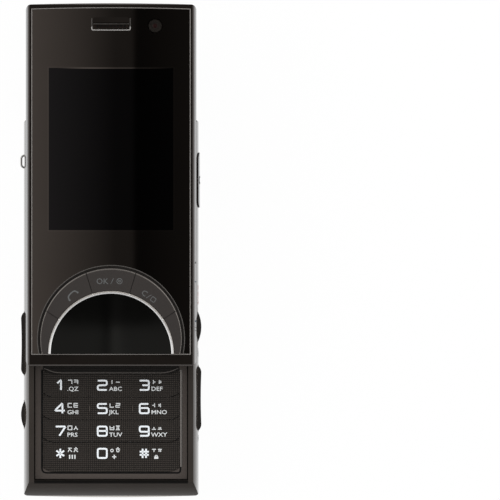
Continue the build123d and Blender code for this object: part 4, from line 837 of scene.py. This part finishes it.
class PHONE_OT_cases(bpy.types.Operator):
    """Finishes the lower half's cases, its port cover, strap loop and plug"""

    bl_idname = "phone.cases"
    bl_label = "Lower half"

    def execute(self, context):
        tones = context.scene.phone_finishes
        marks = context.scene.phone_marks
        plain = moulded_plastic("case_grain", tones.case, specular=0.12, flank=0.08, coat=1.0)
        dark = moulded_plastic("cover_grain", shade(tones.case, 0.3), specular=0.06, flank=0.2, coat=1.0)
        pearl = satin_paint("silver_pearl", tones.silver, 0.46, 0.06 * MM, 0.25)
        dress(plain, "front_case")
        dress(dark, "port_cover")
        dress(pearl, "rear_case", "battery_cover")
        dress(bezel_paint("bezel_satin", tones, marks.grid), "keypad_bezel")
        dress(polished_metal("strap_wire", (0.55, 0.54, 0.52), 0.2), "strap_loop")
        dress(moulded_plastic("plug_plastic", (0.36, 0.35, 0.34), 0.4), "bevel_plug")
        self.add_gap_shade_and_edge_highlight()
        self.add_header_line()
        self.add_chin_line()
        return {"FINISHED"}

    def add_gap_shade_and_edge_highlight(self):
        """A dark strip of painted shade in the gap round the keypad, and a bright metal ridge along its
        right edge that stands in for the highlight on the bezel's inner edge.
        """
        left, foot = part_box("key_star")[0].xy
        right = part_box("key_hash")[1].x
        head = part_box("key_3")[1].y
        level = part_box("keypad_bezel")[1].z - 0.01 * MM
        width, turn = 0.46 * MM, 1.3 * MM
        out = 0.1 * MM + width / 2
        low = foot - out
        bm = bmesh.new()
        path = [(left - out, head), (left - out, low), (right + out, low), (right + out, foot + turn)]
        stroke(bm, path, width, turn)
        for vert in bm.verts:
            vert.co.z = level
        thicken(bm, -DOWN * 0.03 * MM)
        # Painted shade: a dark strip where the gap between the keys and the bezel lies in shadow
        rubber = soft_rubber("painted_gap_shade", (0.0025, 0.0022, 0.002))
        add_piece("keypad_gap_shade", bm, [rubber], "base")
        # Painted highlight: a bright metal ridge on the bezel's right inner edge, where that edge catches
        # the light from the left; its metal also reflects the lamps
        edge = right + 0.62 * MM
        bm = bmesh.new()
        ridge(bm, [(edge, foot + turn), (edge, head)], 0.56 * MM, level, 0.1 * MM)
        bright = polished_metal("bezel_edge_highlight_metal", (0.24, 0.222, 0.208), 0.38)
        add_piece("keypad_edge", bm, [bright], "base")

    def add_header_line(self):
        """A painted highlight above the keys: a light line just above the top row, which bends up at both
        ends.
        """
        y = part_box("key_2")[1].y + 0.35 * MM
        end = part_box("key_hash")[1].x - 0.3 * MM
        run, rise = 3.0 * MM, 1.2 * MM
        bm = bmesh.new()
        stroke(bm, [(-end, y + rise), (run - end, y), (end - run, y), (end, y + rise)], 0.2 * MM, 2 * MM)
        lay_on(bm, "keypad_bezel", 0.02 * MM)
        # The ink's light colour is a painted highlight, not print
        sheen = printing_ink("header_sheen", (0.11, 0.097, 0.088))
        add_piece("header_line", bm, [sheen], "base")

    def add_chin_line(self):
        """Painted shade: a dark line on the chin where it steps down to the keypad, in narrow rows that
        follow its rounded edge.
        """
        low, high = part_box("keypad_bezel")
        half = high.x + 0.3 * MM
        width, rows, steps = 0.22 * MM, 4, 6
        bm = bmesh.new()
        for row in range(rows):
            y = low.y - 0.34 * MM - (row + 0.5) * width
            stroke(bm, [(half * (step / steps - 1), y) for step in range(2 * steps + 1)], width)
        lay_on(bm, "front_case", 0.03 * MM)
        # Dark lacquer that stands in for the shade in the chin's step
        lacquer = lacquered_plastic("chin_step_shade", (0.004, 0.0035, 0.003), 0.4, 0.08)
        add_piece("chin_line", bm, [lacquer], "base")


class PHONE_OT_number_keys(bpy.types.Operator):
    """Finishes the number keys and prints their digits and letters"""

    bl_idname = "phone.number_keys"
    bl_label = "Number keys"

    def execute(self, context):
        tones = context.scene.phone_finishes
        marks = context.scene.phone_marks
        grid = gridded_keys("key_grid", tones.keys, marks.grid)
        inks = [printing_ink("digit_ink", tones.ink), printing_ink("letter_ink", tones.fine_ink)]
        for row in KEY_ROWS:
            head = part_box("key_" + row[1])[1].y
            for column, name in enumerate(row):
                dress(grid, "key_" + name)
                spot = (column * marks.digit_pitch - marks.digit_left, head - marks.digit_below)
                self.print_key(name, spot, marks, inks)
        self.raise_bars(tones)
        return {"FINISHED"}

    def print_key(self, name, spot, marks, inks):
        """One key's digit with its two lines of small letters."""
        bm = bmesh.new()
        size = (marks.digit_width, marks.digit_height)
        corner = (spot[0] - size[0] / 2, spot[1] - size[1] / 2)
        glyph(bm, DIGITS[name], corner, size, marks.digit_stroke, marks.digit_stroke)
        start = spot[0] + marks.legend_start
        foot = corner[1] - marks.digit_stroke / 2
        line = marks.letter_height
        upper = corner[1] + size[1] + marks.digit_stroke / 2 - line
        box = (line * 0.95, line * 0.92)
        indent, pitch = 0.25 * MM, line * 1.45
        for number, jamo in enumerate(JAMO_PAIRS[name]):
            left = start + indent + number * pitch
            if jamo in ("ieung", "hieut"):
                middle = (left + box[0] / 2, upper + box[1] * 0.36)
                stroke(bm, ring(middle, box[0] * 0.33), marks.letter_stroke, index=1)
            glyph(bm, JAMO.get(jamo, []), (left, upper), box, marks.letter_stroke, 0.02 * MM, 1)
        if name in LATIN:
            letters(bm, LATIN[name], (start, foot), line, index=1, stretch=1.16, weight=0.012)
        else:
            self.print_sign(bm, name, (start + 1.4 * MM, foot + line / 2), marks)
        lay_on(bm, "key_" + name, marks.lift)
        add_piece(f"print_{name}", bm, inks, "key_" + name)

    def print_sign(self, bm, name, middle, marks):
        """The small sign on each key of the bottom row: a buzz, a plus or a padlock."""
        x, y = middle
        half = marks.letter_height / 2
        width = marks.letter_stroke
        if name == "star":
            for spot in (x - half * 1.3, x, x + half * 1.3):
                stroke(bm, [(spot, y - half), (spot, y + half)], width * 1.5, index=1)
        elif name == "0":
            stroke(bm, [(x, y - half), (x, y + half)], width * 1.3, index=1)
            stroke(bm, [(x - half, y), (x + half, y)], width * 1.3, index=1)
        else:
            body = y - half * 0.45
            stroke(bm, [(x - half, body), (x + half, body)], half * 1.1, index=1)
            stroke(bm, ring((x, y + half * 0.1), half * 0.6, 10, (0, 180)), width, index=1)

    def raise_bars(self, tones):
        """Two small raised bars beside the 5, to find it by touch."""
        low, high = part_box("key_5")
        y = middle_of("key_5").y
        inset, half = 0.35 * MM, 0.8 * MM
        bm = bmesh.new()
        for x in (low.x + inset, high.x - inset):
            stroke(bm, [(x, y - half), (x, y + half)], 0.3 * MM)
        lay_on(bm, "key_5", 0.12 * MM)
        bar = moulded_plastic("bar_plastic", shade(tones.keys, 2.2), 0.35)
        add_piece("key_5_bars", bm, [bar], "key_5")


class PHONE_OT_side_keys(bpy.types.Operator):
    """Finishes the side keys and prints the signs on the right flank"""

    bl_idname = "phone.side_keys"
    bl_label = "Side keys"

    def execute(self, context):
        tones = context.scene.phone_finishes
        marks = context.scene.phone_marks
        grain = moulded_plastic("side_key_grain", shade(tones.case, 0.55), 0.36, 0.1 * MM, specular=0.2)
        dress(grain, "end_key", "left_key", "camera_rocker", "volume_rocker")
        self.print_end(tones, marks)
        self.print_signs(tones, marks)
        self.raise_cover_sign(tones)
        return {"FINISHED"}

    def print_end(self, tones, marks):
        """END and the sign of a power switch, beside the end key."""
        spot = (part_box("end_key")[1].y + 1.3 * MM, 6.0 * MM)
        power = (spot[0] + 4.7 * MM, spot[1] + 0.62 * MM)
        width = 0.18 * MM
        bm = bmesh.new()
        letters(bm, "END", spot, 1.25 * MM)
        stroke(bm, ring(power, 0.55 * MM, 16, (120, 420)), width)
        stroke(bm, around(power, [(0, 0.1), (0, 0.8)]), width)
        lay_on_flank(bm, "front_case", marks.lift)
        add_piece("end_print", bm, [printing_ink("signal_ink", tones.signal, 1.0)], "base")

    def print_signs(self, tones, marks):
        """A small camera above the camera rocker and a catch in a ring below it."""
        low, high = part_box("camera_rocker")
        level = 6.5 * MM
        camera = (high.y + 3.6 * MM, level)
        catch = (low.y - 2.0 * MM, level)
        bm = bmesh.new()
        box = around(camera, [(-1.1, -0.7), (1.1, -0.7), (1.1, 0.6), (-1.1, 0.6)])
        stroke(bm, [*box, box[0]], 0.2 * MM, 0.2 * MM)
        stroke(bm, ring(camera, 0.42 * MM, 14), 0.2 * MM)
        stroke(bm, around(camera, [(-0.5, 0.8), (0.3, 0.8)]), 0.3 * MM)
        stroke(bm, ring(catch, 0.85 * MM), 0.16 * MM)
        stroke(bm, around(catch, [(-0.3, -0.15), (0.3, -0.15)]), 0.42 * MM)
        lay_on_flank(bm, "front_case", marks.lift)
        pale = printing_ink("flank_ink", shade(tones.fine_ink, 0.14), 1.0)
        add_piece("flank_print", bm, [pale], "base")

    def raise_cover_sign(self, tones):
        """A headset, raised from the port cover."""
        middle = middle_of("port_cover")
        spot = (middle.y, middle.z + 0.15 * MM)
        bm = bmesh.new()
        stroke(bm, ring(spot, 0.95 * MM, 18, (-35, 215)), 0.3 * MM)
        for side in (-1, 1):
            stroke(bm, around(spot, [(side * 0.78, -1.05), (side * 0.78, -0.4)]), 0.45 * MM)
        lay_on_flank(bm, "port_cover", 0.06 * MM)
        raised = moulded_plastic("sign_grain", shade(tones.case, 0.55), 0.4, specular=0.1)
        add_piece("cover_sign", bm, [raised], "port_cover")


class PHONE_OT_slider(bpy.types.Operator):
    """Finishes the slider's frame and housing, and marks its right wall"""

    bl_idname = "phone.slider"
    bl_label = "Slider"

    def execute(self, context):
        tones = context.scene.phone_finishes
        # The frame's lighter metal bevels are a painted highlight
        rim = lacquered_plastic("frame_lacquer", tones.rim, 0.2, 0.06, (0.1, 0.09, 0.085))
        tone = shade(tones.case, 0.4)
        housing = moulded_plastic("housing_grain", tone, 0.42, specular=0.04, flank=0.18, coat=0.6)
        dress(rim, "slider_frame")
        dress(housing, "slider_rear_housing")
        self.mark_wall(context.scene.phone_marks)
        return {"FINISHED"}

    def mark_wall(self, marks):
        """Two bluish lines on the right wall, with a faint seam below them and a darker one above."""
        foot, head = 11.75 * MM, 13.65 * MM
        blue, pale, dark = 0, 1, 2
        bm = bmesh.new()
        for y, width, index in (
            (-6.1, 0.16, pale), (-5.2, 0.16, pale), (-3.55, 0.5, blue),
            (7.1, 0.3, blue), (12.1, 0.22, dark), (12.4, 0.26, pale),
        ):
            stroke(bm, [(y * MM, foot), (y * MM, head)], width * MM, index=index)
        lay_on_flank(bm, "slider_rear_housing", marks.lift)
        inks = [
            printing_ink("wall_blue", (0.013, 0.031, 0.052)),
            printing_ink("wall_pale", (0.011, 0.009, 0.008)),
            printing_ink("wall_dark", (0.002, 0.002, 0.002)),
        ]
        add_piece("wall_lines", bm, inks, "slider")


class PHONE_OT_window(bpy.types.Operator):
    """Finishes the window, display, earpiece and front camera, and adds their lens and bright metal ridges
    of painted highlight
    """

    bl_idname = "phone.window"
    bl_label = "Window"

    def execute(self, context):
        tones = context.scene.phone_finishes
        dress(window_glass("window_print", tones), "display_window")
        dress(lacquered_plastic("panel_film", (0.006, 0.006, 0.007), 0.12), "display_panel")
        dress(brushed_metal("grille_sheet", (0.036, 0.027, 0.023), 0.35, (0.05, 1, 1)), "earpiece_grille")
        dress(moulded_plastic("camera_housing", (0.012, 0.011, 0.011), 0.5), "front_camera", "earpiece")
        self.add_window_edge()
        self.add_earpiece_rim()
        self.add_front_lens()
        return {"FINISHED"}

    def add_window_edge(self):
        """A thin bright metal ridge where the glass meets its frame, bowed a little at the top, a painted
        highlight on the glass's edge.
        """
        low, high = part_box("display_window")
        gap, bow, steps = 0.15 * MM, 0.35 * MM, 16
        left, right = low.x - gap, high.x + gap
        foot, head = low.y - gap, high.y + gap
        top = []
        for step in range(steps + 1):
            share = step / steps * 2 - 1
            top.append((right * -share, head - bow * share * share))
        bm = bmesh.new()
        points = [(left, foot), (right, foot), *top, (left, foot)]
        ridge(bm, points, 0.24 * MM, high.z - 0.02 * MM, 0.08 * MM)
        # Painted highlight: light metal standing in for the light caught by the glass's bevelled edge
        edge = polished_metal("glass_rim_highlight", (0.52, 0.49, 0.465), 0.45)
        add_piece("window_edge", bm, [edge], "slider")

    def add_earpiece_rim(self):
        """Bright metal ridges, painted highlights on the polished edges of the earpiece's scoop: a bright
        lip under the slot, dimmer rails beside it and a faint line above.
        """
        low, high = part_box("earpiece_grille")
        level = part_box("display_window")[1].z - 0.03 * MM
        half = (high.x - low.x) / 2 + 0.55 * MM
        foot = low.y - 0.55 * MM
        bend, head = foot + 0.9 * MM, foot + 3.2 * MM
        width, tall = 0.34 * MM, 0.12 * MM
        bm = bmesh.new()
        ridge(bm, [(-half, bend), (-half, foot), (half, foot), (half, bend)], width, level, tall, 0.9 * MM)
        for x in (-half, half):
            ridge(bm, [(x, bend), (x, head)], width * 0.8, level, tall, index=1)
        above = high.y + 0.05 * MM
        inner = half - width
        ridge(bm, [(-inner, above), (inner, above)], width * 0.5, level, tall / 2, index=1)
        # Painted highlights: the lip and the rails stand in for light caught on the scoop's edges
        lip = polished_metal("lip_highlight_metal", (0.9, 0.87, 0.84), 0.25)
        rail = polished_metal("rail_highlight_metal", (0.22, 0.208, 0.196), 0.35)
        add_piece("earpiece_rim", bm, [lip, rail], "slider")

    def add_front_lens(self):
        """The small camera's lens: two dim rings with a groove between them, and a small domed glass."""
        rings = ((1.95, 0.0), (1.9, 0.04), (1.5, 0.04), (1.4, 0.0), (1.3, 0.03), (0.65, 0.03), (0.58, 0.0))
        dome = ((0.58, 0.0), (0.4, 0.03), (0.2, 0.045), (0.0, 0.05))
        holder = brushed_metal("lens_ring", (0.11, 0.095, 0.085), 0.3, (1, 1, 1))
        glass = gloss_pad("lens_coating", (0.12, 0.05, 0.05))
        bm = lens("front_camera", 1, (rings, dome))
        add_piece("front_lens", bm, [holder, glass], "slider")


class PHONE_OT_arch(bpy.types.Operator):
    """Finishes the arch of keys, its bright half ring and the pad, and prints the keys' signs"""

    bl_idname = "phone.arch"
    bl_label = "Arch of keys"

    def execute(self, context):
        tones = context.scene.phone_finishes
        marks = context.scene.phone_marks
        # The keys' light metal edges are a painted highlight on their bevels
        paint = satin_paint("arch_satin", tones.arch, 0.38, edge=(0.95, 0.9, 0.85))
        dress(paint, "send_key", "ok_key", "cancel_key", "arch_trim")
        dress(polished_metal("ring_plate", (0.95, 0.94, 0.93), 0.07), "half_ring")
        dress(gloss_pad("pad_gloss", tones.pad, 0.07), "scroll_pad")
        dress(lacquered_plastic("tray_lacquer", tones.rim, 0.3, 0.25), "arch_bezel")
        ink = printing_ink("arch_ink", shade(tones.fine_ink, 0.16))
        self.print_ok(marks, ink)
        self.print_send(marks, ink)
        self.print_cancel(marks, ink)
        self.add_cut_edge()
        return {"FINISHED"}

    def add_cut_edge(self):
        """A thin light metal ridge where the glass is cut away round the arch, a painted highlight on the
        cut edge.
        """
        low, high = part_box("arch_bezel")
        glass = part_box("display_window")[1].z
        radius = high.x
        middle = (0.0, high.y - radius)
        droop = math.degrees(math.asin((middle[1] - low.y) / radius))
        path = ring(middle, radius - 0.02 * MM, 60, (-droop, 180 + droop))
        bm = bmesh.new()
        ridge(bm, path, 0.24 * MM, glass - 0.02 * MM, 0.06 * MM)
        # Painted highlight: dim light metal standing in for the light caught by the glass's cut edge
        edge = polished_metal("cut_edge", (0.17, 0.16, 0.152), 0.4)
        add_piece("arch_cut_edge", bm, [edge], "slider")

    def print_ok(self, marks, ink):
        """OK, a slash and a ring with a dot."""
        x, y, _ = middle_of("ok_key")
        tall = 1.55 * MM
        foot = y - tall / 2 - 0.1 * MM
        dot = (x + 2.3 * MM, foot + tall / 2)
        bm = bmesh.new()
        letters(bm, "OK", (x - 4.0 * MM, foot), tall)
        stroke(bm, [(x - 0.1 * MM, foot), (x + 0.7 * MM, foot + tall)], 0.16 * MM)
        for share in (0.46, 0.16):
            stroke(bm, ring(dot, tall * share), 0.18 * MM)
        lay_on(bm, "ok_key", marks.lift)
        add_piece("print_ok", bm, [ink], "ok_key")

    def print_send(self, marks, ink):
        """A telephone handset."""
        spot = (-10.5 * MM, 3.6 * MM)
        bm = bmesh.new()
        handle = [(-1.5, -0.5), (-1.25, 0.35), (0, 0.55), (1.25, 0.35), (1.5, -0.5)]
        stroke(bm, around(spot, handle), 0.34 * MM, 0.5 * MM)
        for side in (-1, 1):
            stroke(bm, around(spot, [(side * 1.25, -0.55), (side * 1.75, -0.55)]), 0.55 * MM)
        turn_marks(bm, math.radians(45), spot)
        lay_on(bm, "send_key", marks.lift)
        add_piece("print_send", bm, [ink], "send_key")

    def print_cancel(self, marks, ink):
        """C, a slash and a small box, turned to follow the arch."""
        spot = (10.2 * MM, 3.2 * MM)
        tall = 1.5 * MM
        bm = bmesh.new()
        letters(bm, "C", (spot[0] - 2.2 * MM, spot[1] - tall / 2), tall)
        stroke(bm, around(spot, [(-0.3, -0.75), (0.4, 0.75)]), 0.16 * MM)
        box = around(spot, [(0.9, -0.6), (2.1, -0.6), (2.1, 0.6), (0.9, 0.6)])
        stroke(bm, [*box, box[0]], 0.17 * MM, 0.2 * MM)
        turn_marks(bm, math.radians(-36), spot)
        lay_on(bm, "cancel_key", marks.lift)
        add_piece("print_cancel", bm, [ink], "cancel_key")


class PHONE_OT_back(bpy.types.Operator):
    """Finishes the rear camera and adds its lens"""

    bl_idname = "phone.back"
    bl_label = "Rear camera"

    def execute(self, context):
        dress(clear_glass("camera_glass"), "rear_camera_window")
        dress(moulded_plastic("camera_barrel", (0.012, 0.012, 0.012), 0.45), "rear_camera")
        rim = ((2.9, 0.0), (2.8, 0.03), (2.0, 0.03), (1.9, 0.0))
        dome = ((1.6, 0.0), (1.0, 0.024), (0.0, 0.036))
        holder = brushed_metal("rear_lens_ring", (0.35, 0.34, 0.33), 0.25, (1, 1, 1))
        glass = gloss_pad("rear_lens_coating", (0.05, 0.04, 0.075))
        bm = lens("rear_camera", -1, (rim, dome))
        add_piece("rear_lens", bm, [holder, glass], "base")
        return {"FINISHED"}


class PHONE_OT_inside(bpy.types.Operator):
    """Finishes the boards, battery and small parts inside"""

    bl_idname = "phone.inside"
    bl_label = "Inside"

    def execute(self, context):
        board = circuit_board("board_mask")
        domes = polished_metal("dome_steel", (0.66, 0.65, 0.63), 0.22)
        cans = brushed_metal("can_sheet", (0.62, 0.61, 0.59), 0.32, (0.05, 1, 1))
        small = moulded_plastic("small_parts", (0.016, 0.016, 0.016), 0.45)
        motor = brushed_metal("motor_can", (0.55, 0.54, 0.52), 0.3, (1, 0.05, 1))
        dress(soft_rubber("web_rubber", (0.32, 0.32, 0.33)), "key_web")
        dress(domes, "key_domes", "arch_domes")
        dress(board, "main_board", "slider_board")
        dress(cans, "shield_cans", "sim_holder")
        dress(battery_wrap("cell_wrap"), "battery_cell")
        dress(small, "battery_contacts", "loudspeaker", "side_switches")
        dress(motor, "vibration_motor", "microphone")
        dress(brushed_metal("tungsten", (0.3, 0.29, 0.28), 0.42, (1, 1, 1)), "vibration_weight")
        dress(brushed_metal("aerial_strip", (0.72, 0.52, 0.2), 0.28, (0.04, 1, 1)), "antenna")
        dress(brushed_metal("connector_shell", (0.6, 0.59, 0.57), 0.25), "data_connector")
        dress(polished_metal("screw_steel", (0.5, 0.49, 0.47), 0.25), "lower_screws")
        return {"FINISHED"}


class PHONE_OT_slide(bpy.types.Operator):
    """Finishes the slide's plates, springs and flat cable"""

    bl_idname = "phone.slide"
    bl_label = "Slide"

    def execute(self, context):
        dress(brushed_metal("rail_steel", (0.5, 0.49, 0.47), 0.3), "slide_base_plate")
        dress(brushed_metal("plate_black", (0.05, 0.047, 0.045), 0.36), "slide_moving_plate")
        wire = polished_metal("spring_wire", (0.58, 0.57, 0.55), 0.18)
        film = amber_film("flex_film")
        dress(wire, "slide_springs")
        dress(film, "flex_cable")
        self.bend_cable(film)
        for side, name in ((-1, "spring_left"), (1, "spring_right")):
            self.bend_spring(name, side, wire)
        return {"FINISHED"}

    def bend_cable(self, film):
        """The flat cable: a copy of the CAD node, left in place, with the node hidden."""
        cable = new_piece("flat_cable", copy_of("flex_cable"), [film])
        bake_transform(cable)
        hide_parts("flex_cable")

    def bend_spring(self, name, side, wire):
        """One hairpin spring: a copy of one side's half of the CAD springs, left in place, with the node
        hidden.
        """
        bm = copy_of("slide_springs", side)
        eye, step = 2.2 * MM, 3.0 * MM
        outer = max(abs(vert.co.x) for vert in bm.verts) - eye
        inner = min(abs(vert.co.x) for vert in bm.verts) + eye
        head = max(vert.co.y for vert in bm.verts) - step
        slant = math.radians(20)
        reach = (outer - inner) * math.cos(slant)
        end = (side * (outer - reach * math.cos(slant)), head + reach * math.sin(slant), 0)
        spring = new_piece(name, bm, [wire])
        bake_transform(spring)
        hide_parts("slide_springs")


class PHONE_OT_studio(bpy.types.Operator):
    """Sets up the floor, lamps, backdrop and camera"""

    bl_idname = "phone.studio"
    bl_label = "Studio"

    def execute(self, context):
        scene = context.scene
        studio = scene.phone_studio
        scene.view_settings.view_transform = "Standard"
        self.lay_floor(studio)
        self.light_sky(scene, studio)
        for name, place, size in (
            ("box_left", (-0.75, 0.05, 0.28), (0.8, 0.4)),
            ("box_right", (0.75, 0.05, 0.28), (0.6, 0.3)),
            ("box_head", (0.0, 0.85, 0.34), (0.8, 0.35)),
        ):
            self.hang_box(name, Vector(place), size, studio.box)
        self.set_camera(scene, studio)
        return {"FINISHED"}

    def lay_floor(self, studio):
        """A pale floor that looks white and keeps a soft shadow."""
        half = 2.0
        level = CAD_BOX[0][2] - 0.1 * MM
        bm = bmesh.new()
        corners = ((-half, -half), (half, -half), (half, half), (-half, half))
        bm.faces.new([bm.verts.new((x, y, level)) for x, y in corners])
        mesh = bpy.data.meshes.new("floor")
        bm.to_mesh(mesh)
        bm.free()
        shader = new_shader("floor_paper")
        fibre = shader.noise(2 * MM, 4.0)
        tint = shader.blend(fibre, (0.86, 0.86, 0.86, 1), (0.9, 0.9, 0.9, 1))
        paper = shader.node("BsdfDiffuse", None, {"Color": tint})
        plain = shader.node("Emission", None, {"Color": (1, 1, 1, 1), "Strength": 1.0})
        share = self.rays(shader, "Camera", "Glossy", "Transmission") * studio.white
        shader.end(shader.node("MixShader", None, {0: share, 1: paper, 2: plain}))
        mesh.materials.append(shader.owner)
        floor = bpy.data.objects.new("floor", mesh)
        bpy.context.scene.collection.objects.link(floor)

    def rays(self, shader, *kinds):
        """1 for light rays of any of these kinds, and 0 for the others."""
        found = [shader.node("LightPath", output=f"Is {kind} Ray") for kind in kinds]
        of_kind = found[0]
        for other in found[1:]:
            of_kind = of_kind.larger(other)
        return of_kind

    def light_sky(self, scene, studio):
        """Even light all round; mirrors see white sides and a dim ceiling with a dark patch overhead."""
        scene.world = bpy.data.worlds.new("studio_sky")
        shader = Shader(scene.world)
        x, y, z = shader.axes(shader.node("TexCoord", output="Generated"))
        beside = abs(x).rise(0.3, 0.7) * z.rise(0.2, 0.4)
        height = z.ramp(0.1, 0.75, 1.0, 0.42) * y.ramp(-0.7, -0.1, 0.5, 1.0)
        ceiling = height * (beside * 0.8 + 1)
        # What the glass mirrors from straight above: bright at the left, dark beyond a sharp seam
        across = x / z * studio.distance
        left = across.ramp(-58.6 * MM, -36.5 * MM, 1.0, 0.2) * across.ramp(-160 * MM, -75 * MM, 0.45, 1.0)
        right = across.ramp(-30 * MM, -16 * MM, 0.045, 0.1).larger(across.ramp(5 * MM, 70 * MM, 0.0, 0.45))
        seam = across.rise(-32.0 * MM, -30.7 * MM)
        front = (y / z).rise(-0.064, -0.046)
        overhead = (left * (1 - seam) + right * seam) * (front * 0.75 + 0.25)
        near = z.rise(0.982, 0.992)
        mirrored = near * overhead + (1 - near) * ceiling
        camera = self.rays(shader, "Camera")
        mirror = self.rays(shader, "Glossy", "Transmission")
        level = camera + (1 - camera) * (mirror * mirrored + (1 - mirror) * studio.sky)
        shader.end(shader.node("Background", None, {"Color": (1, 1, 1, 1), "Strength": level}), "World")

    def hang_box(self, name, place, size, brightness):
        """A soft box that faces the phone; mirrors show the sky in its place."""
        lamp = bpy.data.lights.new(name, "AREA")
        lamp.shape = "RECTANGLE"
        lamp.size, lamp.size_y = size
        lamp.energy = brightness * math.pi * size[0] * size[1]
        box = bpy.data.objects.new(name, lamp)
        box.location = place
        middle = Vector((0, 0.015, 0.01))
        box.rotation_euler = (middle - place).to_track_quat("-Z", "Y").to_euler()
        box.visible_camera = False
        box.visible_glossy = False
        bpy.context.scene.collection.objects.link(box)

    def set_camera(self, scene, studio):
        """A long lens straight above the window."""
        data = bpy.data.cameras.new("camera")
        data.sensor_width = 36.0
        data.lens = data.sensor_width * studio.distance / studio.view_width
        data.clip_end = 20.0
        camera = bpy.data.objects.new("camera", data)
        camera.location = (studio.view_x, studio.view_y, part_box("display_window")[1].z + studio.distance)
        scene.collection.objects.link(camera)
        scene.camera = camera


STEPS = (
    PHONE_OT_cases,
    PHONE_OT_number_keys,
    PHONE_OT_side_keys,
    PHONE_OT_slider,
    PHONE_OT_window,
    PHONE_OT_arch,
    PHONE_OT_back,
    PHONE_OT_inside,
    PHONE_OT_slide,
    PHONE_OT_studio,
)


class PHONE_PT_steps(bpy.types.Panel):
    """Lists the steps that dress the phone"""

    bl_idname = "PHONE_PT_steps"
    bl_label = "Slide phone"
    bl_space_type = "VIEW_3D"
    bl_region_type = "UI"
    bl_category = "Slide phone"

    def draw(self, context):
        for step in STEPS:
            self.layout.operator(step.bl_idname)
        for group in (context.scene.phone_finishes, context.scene.phone_marks, context.scene.phone_studio):
            column = self.layout.column()
            for name in group.bl_rna.properties.keys():
                if name not in ("rna_type", "name"):
                    column.prop(group, name)


GROUPS = (
    ("phone_finishes", PhoneFinishes),
    ("phone_marks", PhoneMarks),
    ("phone_studio", PhoneStudio),
)


def register():
    for name, group in GROUPS:
        bpy.utils.register_class(group)
        setattr(bpy.types.Scene, name, PointerProperty(type=group))
    for step in STEPS:
        bpy.utils.register_class(step)
    bpy.utils.register_class(PHONE_PT_steps)


def unregister():
    bpy.utils.unregister_class(PHONE_PT_steps)
    for step in reversed(STEPS):
        bpy.utils.unregister_class(step)
    for name, group in reversed(GROUPS):
        delattr(bpy.types.Scene, name)
        bpy.utils.unregister_class(group)


def main():
    register()
    bpy.ops.phone.cases()
    bpy.ops.phone.number_keys()
    bpy.ops.phone.side_keys()
    bpy.ops.phone.slider()
    bpy.ops.phone.window()
    bpy.ops.phone.arch()
    bpy.ops.phone.back()
    bpy.ops.phone.inside()
    bpy.ops.phone.slide()
    bpy.ops.phone.studio()


if __name__ == "__main__":
    main()
